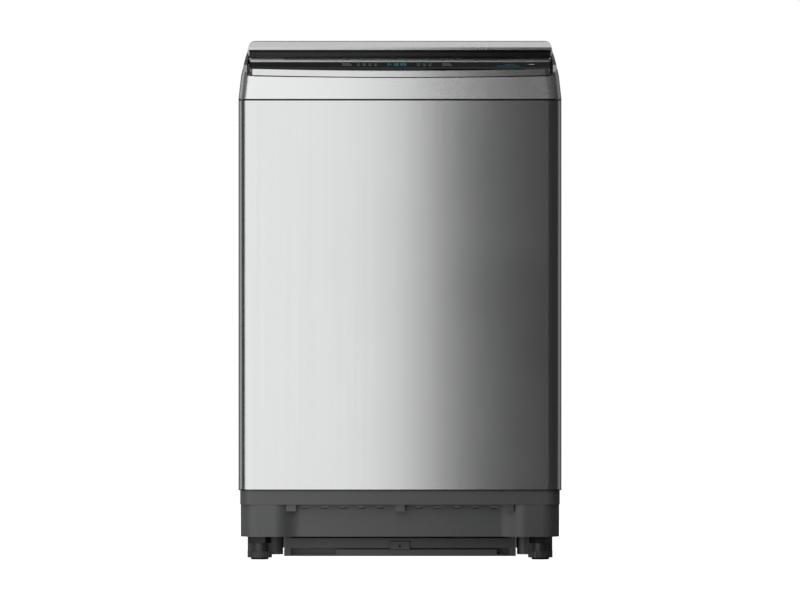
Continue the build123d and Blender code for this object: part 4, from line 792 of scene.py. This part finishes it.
    def _key_marks(self) -> list[bpy.types.Object]:
        """Start and power signs that move with their keys."""
        start, power = bmesh.new(), bmesh.new()
        lift = 0.3 * MM
        x = (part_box("start_button")[0].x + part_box("start_button")[1].x) / 2
        tip = [(-5, -3.6), (-5, 3.6), (1, 0)]
        start.faces.new([start.verts.new(self.point(x + a * MM, self.key_at + b * MM, lift)) for a, b in tip])
        for across in (3.2, 6.0):
            self._tile(start, x + across * MM, self.key_at, 1.3 * MM, 7.2 * MM, lift)
        x = (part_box("power_button")[0].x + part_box("power_button")[1].x) / 2
        self._ring(power, x, self.key_at, 4.2 * MM, lift, opening=1.2)
        self._tile(power, x, self.key_at + 3 * MM, 1.0 * MM, 4.4 * MM, lift)
        return [
            self._finish(start, "start_sign", Finish.BLUE, "start_key"),
            self._finish(power, "power_sign", Finish.BRIGHT, "power_key"),
        ]


@dataclass
class Drum:
    """Perforated basket wall with an embossed net between its holes."""

    columns: int = 72
    rows: int = 22
    hole: float = 2.1 * MM
    sheet: float = 1.0 * MM
    emboss: float = 1.3 * MM

    def build(self) -> list[bpy.types.Object]:
        """Roll the wall in place of its plain sheet.

        Returns:
            The wall.
        """
        low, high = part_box("wash_basket")
        self.radius = high.x
        self.low, self.height = low.z, high.z - low.z
        mesh = bmesh.new()
        across, up = 2 * math.pi * self.radius / self.columns, self.height / self.rows
        for row in range(self.rows):
            for column in range(self.columns):
                self._cell(mesh, column * across, row * up, across, up)
        bmesh.ops.remove_doubles(mesh, verts=mesh.verts, dist=2e-5)
        bmesh.ops.recalc_face_normals(mesh, faces=mesh.faces)
        bmesh.ops.solidify(mesh, geom=mesh.faces[:], thickness=self.sheet)
        piece = settle(mesh, "basket_wall", Finish.STAINLESS.material)
        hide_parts("wash_basket")
        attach(piece, "basket")
        return [piece]

    def _bend(self, along: float, up: float) -> Vector:
        """Wrap a flat place round the wall, with its embossing."""
        wave = math.sin(along / (2 * math.pi * self.radius) * self.columns * math.pi / 2)
        ripple = math.sin(up / self.height * self.rows * math.pi / 2)
        radius = self.radius - 0.2 * MM - self.emboss * (wave * ripple) ** 2
        angle = along / self.radius
        return Vector((radius * math.cos(angle), radius * math.sin(angle), self.low + up))

    def _cell(self, mesh: bmesh.types.BMesh, left: float, low: float, width: float, height: float) -> None:
        """Add one cell of the wall with a round hole in its middle."""
        edge = [(0, 0), (0.5, 0), (1, 0), (1, 0.5), (1, 1), (0.5, 1), (0, 1), (0, 0.5)]
        outer = [mesh.verts.new(self._bend(left + u * width, low + v * height)) for u, v in edge]
        inner = []
        for step in range(8):
            angle = -0.75 * math.pi + step * math.pi / 4
            u, v = width / 2 + self.hole * math.cos(angle), height / 2 + self.hole * math.sin(angle)
            inner.append(mesh.verts.new(self._bend(left + u, low + v)))
        for step in range(8):
            after = (step + 1) % 8
            mesh.faces.new((outer[step], outer[after], inner[after], inner[step]))


@dataclass
class CaseScrews:
    """Domed screw heads on the rear flanges, each with a black cross painted as the shade of its recess."""

    radius: float = 4.0 * MM
    segments: int = 32

    def build(self) -> list[bpy.types.Object]:
        """Make the six heads and the black crosses painted as shade in their recesses.

        Returns:
            The heads and the recess shade crosses.
        """
        low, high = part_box("case_screws")
        heads, slots = bmesh.new(), bmesh.new()
        for x in (low.x + self.radius, high.x - self.radius):
            for z in (low.z + self.radius, (low.z + high.z) / 2, high.z - self.radius):
                self._head(heads, Vector((x, low.y, z)), high.y - low.y)
                # Painted shade: a black cross stands in for the dark of each cross recess.
                for wide, tall in ((2.2, 0.5), (0.5, 2.2)):
                    reach = Vector((wide * MM, 0, tall * MM))
                    face = Vector((x, high.y - 0.35 * MM, z))
                    block(slots, face - reach, face + reach + Vector((0, 0.32 * MM, 0)), 0.1 * MM, 1)
        pieces = []
        for mesh, name, finish, slot in (
            (heads, "screw_heads", Finish.ZINC, "steel"),
            (slots, "screw_recess_shade", Finish.BLACK, "steel"),
        ):
            piece = settle(mesh, name, finish.material)
            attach(piece, "cabinet")
            pieces.append(piece)
        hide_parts("case_screws")
        return pieces

    def _head(self, mesh: bmesh.types.BMesh, foot: Vector, height: float) -> None:
        """Lathe one domed head."""
        verts = [mesh.verts.new(foot + Vector((self.radius, 0, 0)))]
        for step in range(6):
            angle = step / 5 * math.pi / 2
            rise = height * (0.35 + 0.65 * math.sin(angle)) - 0.05 * MM
            verts.append(mesh.verts.new(foot + Vector((self.radius * math.cos(angle), rise, 0))))
        edges = [mesh.edges.new(pair) for pair in zip(verts, verts[1:])]
        bmesh.ops.spin(
            mesh, geom=verts + edges, cent=foot, axis=(0, 1, 0), dvec=(0, 0, 0), angle=2 * math.pi,
            steps=self.segments, use_merge=True, use_duplicate=False,
        )


@dataclass
class HoodSlot:
    """Black sheet in the slot under the hood's lip: painted shade for the slot's depth."""

    gap: float = 0.4 * MM
    lip_height: float = 15 * MM
    slot_height: float = 5 * MM
    near: float = 2.2 * MM
    far: float = 11.4 * MM
    corner: float = 0.6 * MM

    def build(self) -> list[bpy.types.Object]:
        """Fit the black shade sheet behind the lid.

        Returns:
            The black shade sheet.
        """
        low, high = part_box("rear_hood")
        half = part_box("lid_glass")[1].x + 4 * MM
        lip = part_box("lid_glass")[1].y + 6 * MM
        slot_top = high.z - self.lip_height
        mesh = bmesh.new()
        # Painted shade: a black block fills the slot where only its shadow lies.
        block(
            mesh,
            Vector((-half, lip + self.near, slot_top - self.slot_height + self.gap)),
            Vector((half, lip + self.far, slot_top - self.gap)),
            self.corner,
        )
        piece = settle(mesh, "hood_slot_painted_shade", Finish.BLACK.material)
        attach(piece, "cabinet")
        return [piece]


@dataclass
class BaseVentHighlights:
    """Light grey strip in each slot of the base's front panel: a painted highlight on the slot's lower lip.
    """

    count: int = 5
    first: float = 36 * MM
    pitch: float = 34 * MM
    width: float = 12.6 * MM
    height: float = 1.7 * MM
    top: float = 97.2 * MM
    recess: float = 17.2 * MM

    def build(self) -> list[bpy.types.Object]:
        """Set one highlight strip in each slot.

        Returns:
            The row of highlight strips.
        """
        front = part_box("base_frame")[0].y + self.recess
        mesh = bmesh.new()
        for step in range(self.count):
            for side in (-1, 1):
                x = side * (self.first + self.pitch * step)
                low = Vector((x - self.width / 2, front, self.top - self.height))
                high = Vector((x + self.width / 2, front + 1.6 * MM, self.top))
                block(mesh, low, high, 0.3 * MM)
        # Painted highlight: the strips stand in for light catching the slots' lower lips.
        piece = settle(mesh, "base_slot_highlights", Finish.SLOT_HIGHLIGHT.material)
        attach(piece, "cabinet")
        return [piece]


@dataclass
class Studio:
    """Floor, lights and camera."""

    distance: float = 50.0
    elevation: float = 1.2
    frame_width: float = 1.4613
    aim_height: float = 0.475
    sensor: float = 36.0
    floor_radius: float = 5.0
    floor_solid: float = 0.9

    def build(self) -> None:
        """Set the stage round the machine."""
        self._floor()
        self._world()
        self._lights()
        self._camera()

    def _floor(self) -> None:
        """Lay a plain pale floor."""
        mesh = bmesh.new()
        bmesh.ops.create_circle(mesh, cap_ends=True, segments=96, radius=self.floor_radius)
        sketch = Sketch("studio_floor")
        place = sketch.place()
        cloud = sketch.noise(place, 0.8, 2.0)
        x, y, _ = sketch.axes(place)
        reach = (x * x + y * y) ** 0.5
        fade = ((reach - self.floor_solid) / (self.floor_radius - self.floor_solid)).clipped()
        sketch.set(
            base_color=sketch.shade(cloud, (0.90, 0.90, 0.90), (0.92, 0.92, 0.92)),
            roughness=(cloud - 0.5) * 0.05 + 0.8,
            emission_color=(1.0, 1.0, 1.0),
            emission_strength=1.1,
            alpha=(1 - fade) * (1 - fade),
        )
        floor = settle(mesh, "studio_floor", sketch.material)
        floor.visible_glossy = False
        floor.visible_diffuse = False
        floor.visible_shadow = False
        floor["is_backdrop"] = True

    def _world(self) -> None:
        """White behind the machine; for its reflections dark at the horizon and grey overhead."""
        world = bpy.data.worlds.new("studio_world")
        bpy.context.scene.world = world
        world.use_nodes = True
        tree = world.node_tree
        tree.nodes.clear()
        output = tree.nodes.new("ShaderNodeOutputWorld")
        mix = tree.nodes.new("ShaderNodeMixShader")
        seen = tree.nodes.new("ShaderNodeBackground")
        seen.inputs["Color"].default_value = (1, 1, 1, 1)
        seen.inputs["Strength"].default_value = 1.0
        soft = tree.nodes.new("ShaderNodeBackground")
        ramp = tree.nodes.new("ShaderNodeValToRGB")
        for element, (place, grey) in zip(ramp.color_ramp.elements, ((0.6, 0.03), (1.0, 0.30))):
            element.position = place
            element.color = (grey, grey, grey, 1.0)
        split = tree.nodes.new("ShaderNodeSeparateXYZ")
        coords = tree.nodes.new("ShaderNodeTexCoord")
        tree.links.new(coords.outputs["Generated"], split.inputs[0])
        tree.links.new(split.outputs[2], ramp.inputs[0])
        tree.links.new(ramp.outputs[0], soft.inputs["Color"])
        path = tree.nodes.new("ShaderNodeLightPath")
        tree.links.new(path.outputs["Is Camera Ray"], mix.inputs[0])
        tree.links.new(soft.outputs[0], mix.inputs[1])
        tree.links.new(seen.outputs[0], mix.inputs[2])
        tree.links.new(mix.outputs[0], output.inputs[0])

    def _panel(self, name: str, place: Colour, aim: Colour, size: tuple[float, float], power: float) -> None:
        """Hang one soft box.

        Args:
            name: the light's name.
            place: its centre, in metres.
            aim: the point it faces.
            size: width and height, in metres.
            power: watts.
        """
        light = bpy.data.lights.new(name, "AREA")
        light.shape = "RECTANGLE"
        light.size, light.size_y = size
        light.energy = power
        lamp = bpy.data.objects.new(name, light)
        bpy.context.scene.collection.objects.link(lamp)
        lamp.location = place
        lamp.rotation_euler = (Vector(aim) - Vector(place)).to_track_quat("-Z", "Z").to_euler()
        lamp.visible_camera = False

    def _lights(self) -> None:
        """Tall key in front of the left half, soft top, low fills at the sides and behind."""
        self._panel("key_left", (-1.05, -1.3, 1.35), (-1.05, 0.0, 1.35), (2.2, 3.4), 24.0)
        self._panel("top_soft", (0.0, 0.2, 3.4), (0.0, 0.0, 0.0), (2.6, 2.6), 11.0)
        self._panel("side_left", (-3.0, 1.3, 0.9), (0.0, 0.3, 0.5), (3.4, 2.0), 8.0)
        self._panel("side_right", (3.0, 1.3, 0.9), (0.0, 0.3, 0.5), (3.4, 2.0), 4.0)

    def _camera(self) -> None:
        """A very long lens far in front, level with the machine."""
        tilt = math.radians(self.elevation)
        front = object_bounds()[0][1]
        camera = bpy.data.cameras.new("studio_camera")
        camera.sensor_width = self.sensor
        camera.lens = self.sensor * self.distance / self.frame_width
        camera.clip_start = 0.1
        camera.clip_end = 200.0
        holder = bpy.data.objects.new("studio_camera", camera)
        bpy.context.scene.collection.objects.link(holder)
        holder.location = (
            0.0,
            front - self.distance * math.cos(tilt),
            self.aim_height + self.distance * math.sin(tilt),
        )
        holder.rotation_euler = (math.pi / 2 - tilt, 0.0, 0.0)
        bpy.context.scene.camera = holder
        bpy.context.scene.view_settings.view_transform = "Standard"


def dress_nodes() -> None:
    """Give each CAD node the finish of its material slot."""
    slots = {part["node"]: part["material_slot"] for part in frame["record"]["subparts"]}
    for name, node in frame["nodes"].items():
        material = SLOT_FINISH[slots[name]].material
        if name in NODE_FINISH:
            material = NODE_FINISH[name].material
        node.data.materials.clear()
        node.data.materials.append(material)
    low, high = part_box("lid_glass")
    middle, half = (low.y + high.y) / 2, (high.y - low.y) / 2
    lid = LidGlass("lid_glass", middle, high.x - LID_BORDER_SIDE, half - LID_BORDER_FRONT, LID_BOW)
    frame["nodes"]["lid_glass"].data.materials.clear()
    frame["nodes"]["lid_glass"].data.materials.append(lid.build())


def main() -> None:
    """Build every sub-assembly in order."""
    logging.basicConfig(level=logging.INFO, format="%(name)s: %(message)s")
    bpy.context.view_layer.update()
    dress_nodes()
    for assembly in (Suspension(), PanelMarks(), Drum(), CaseScrews(), HoodSlot(), BaseVentHighlights()):
        for piece in assembly.build():
            LOG.info("%s: %s", type(assembly).__name__, piece.name)
    Studio().build()


if __name__ == "__main__":
    main()
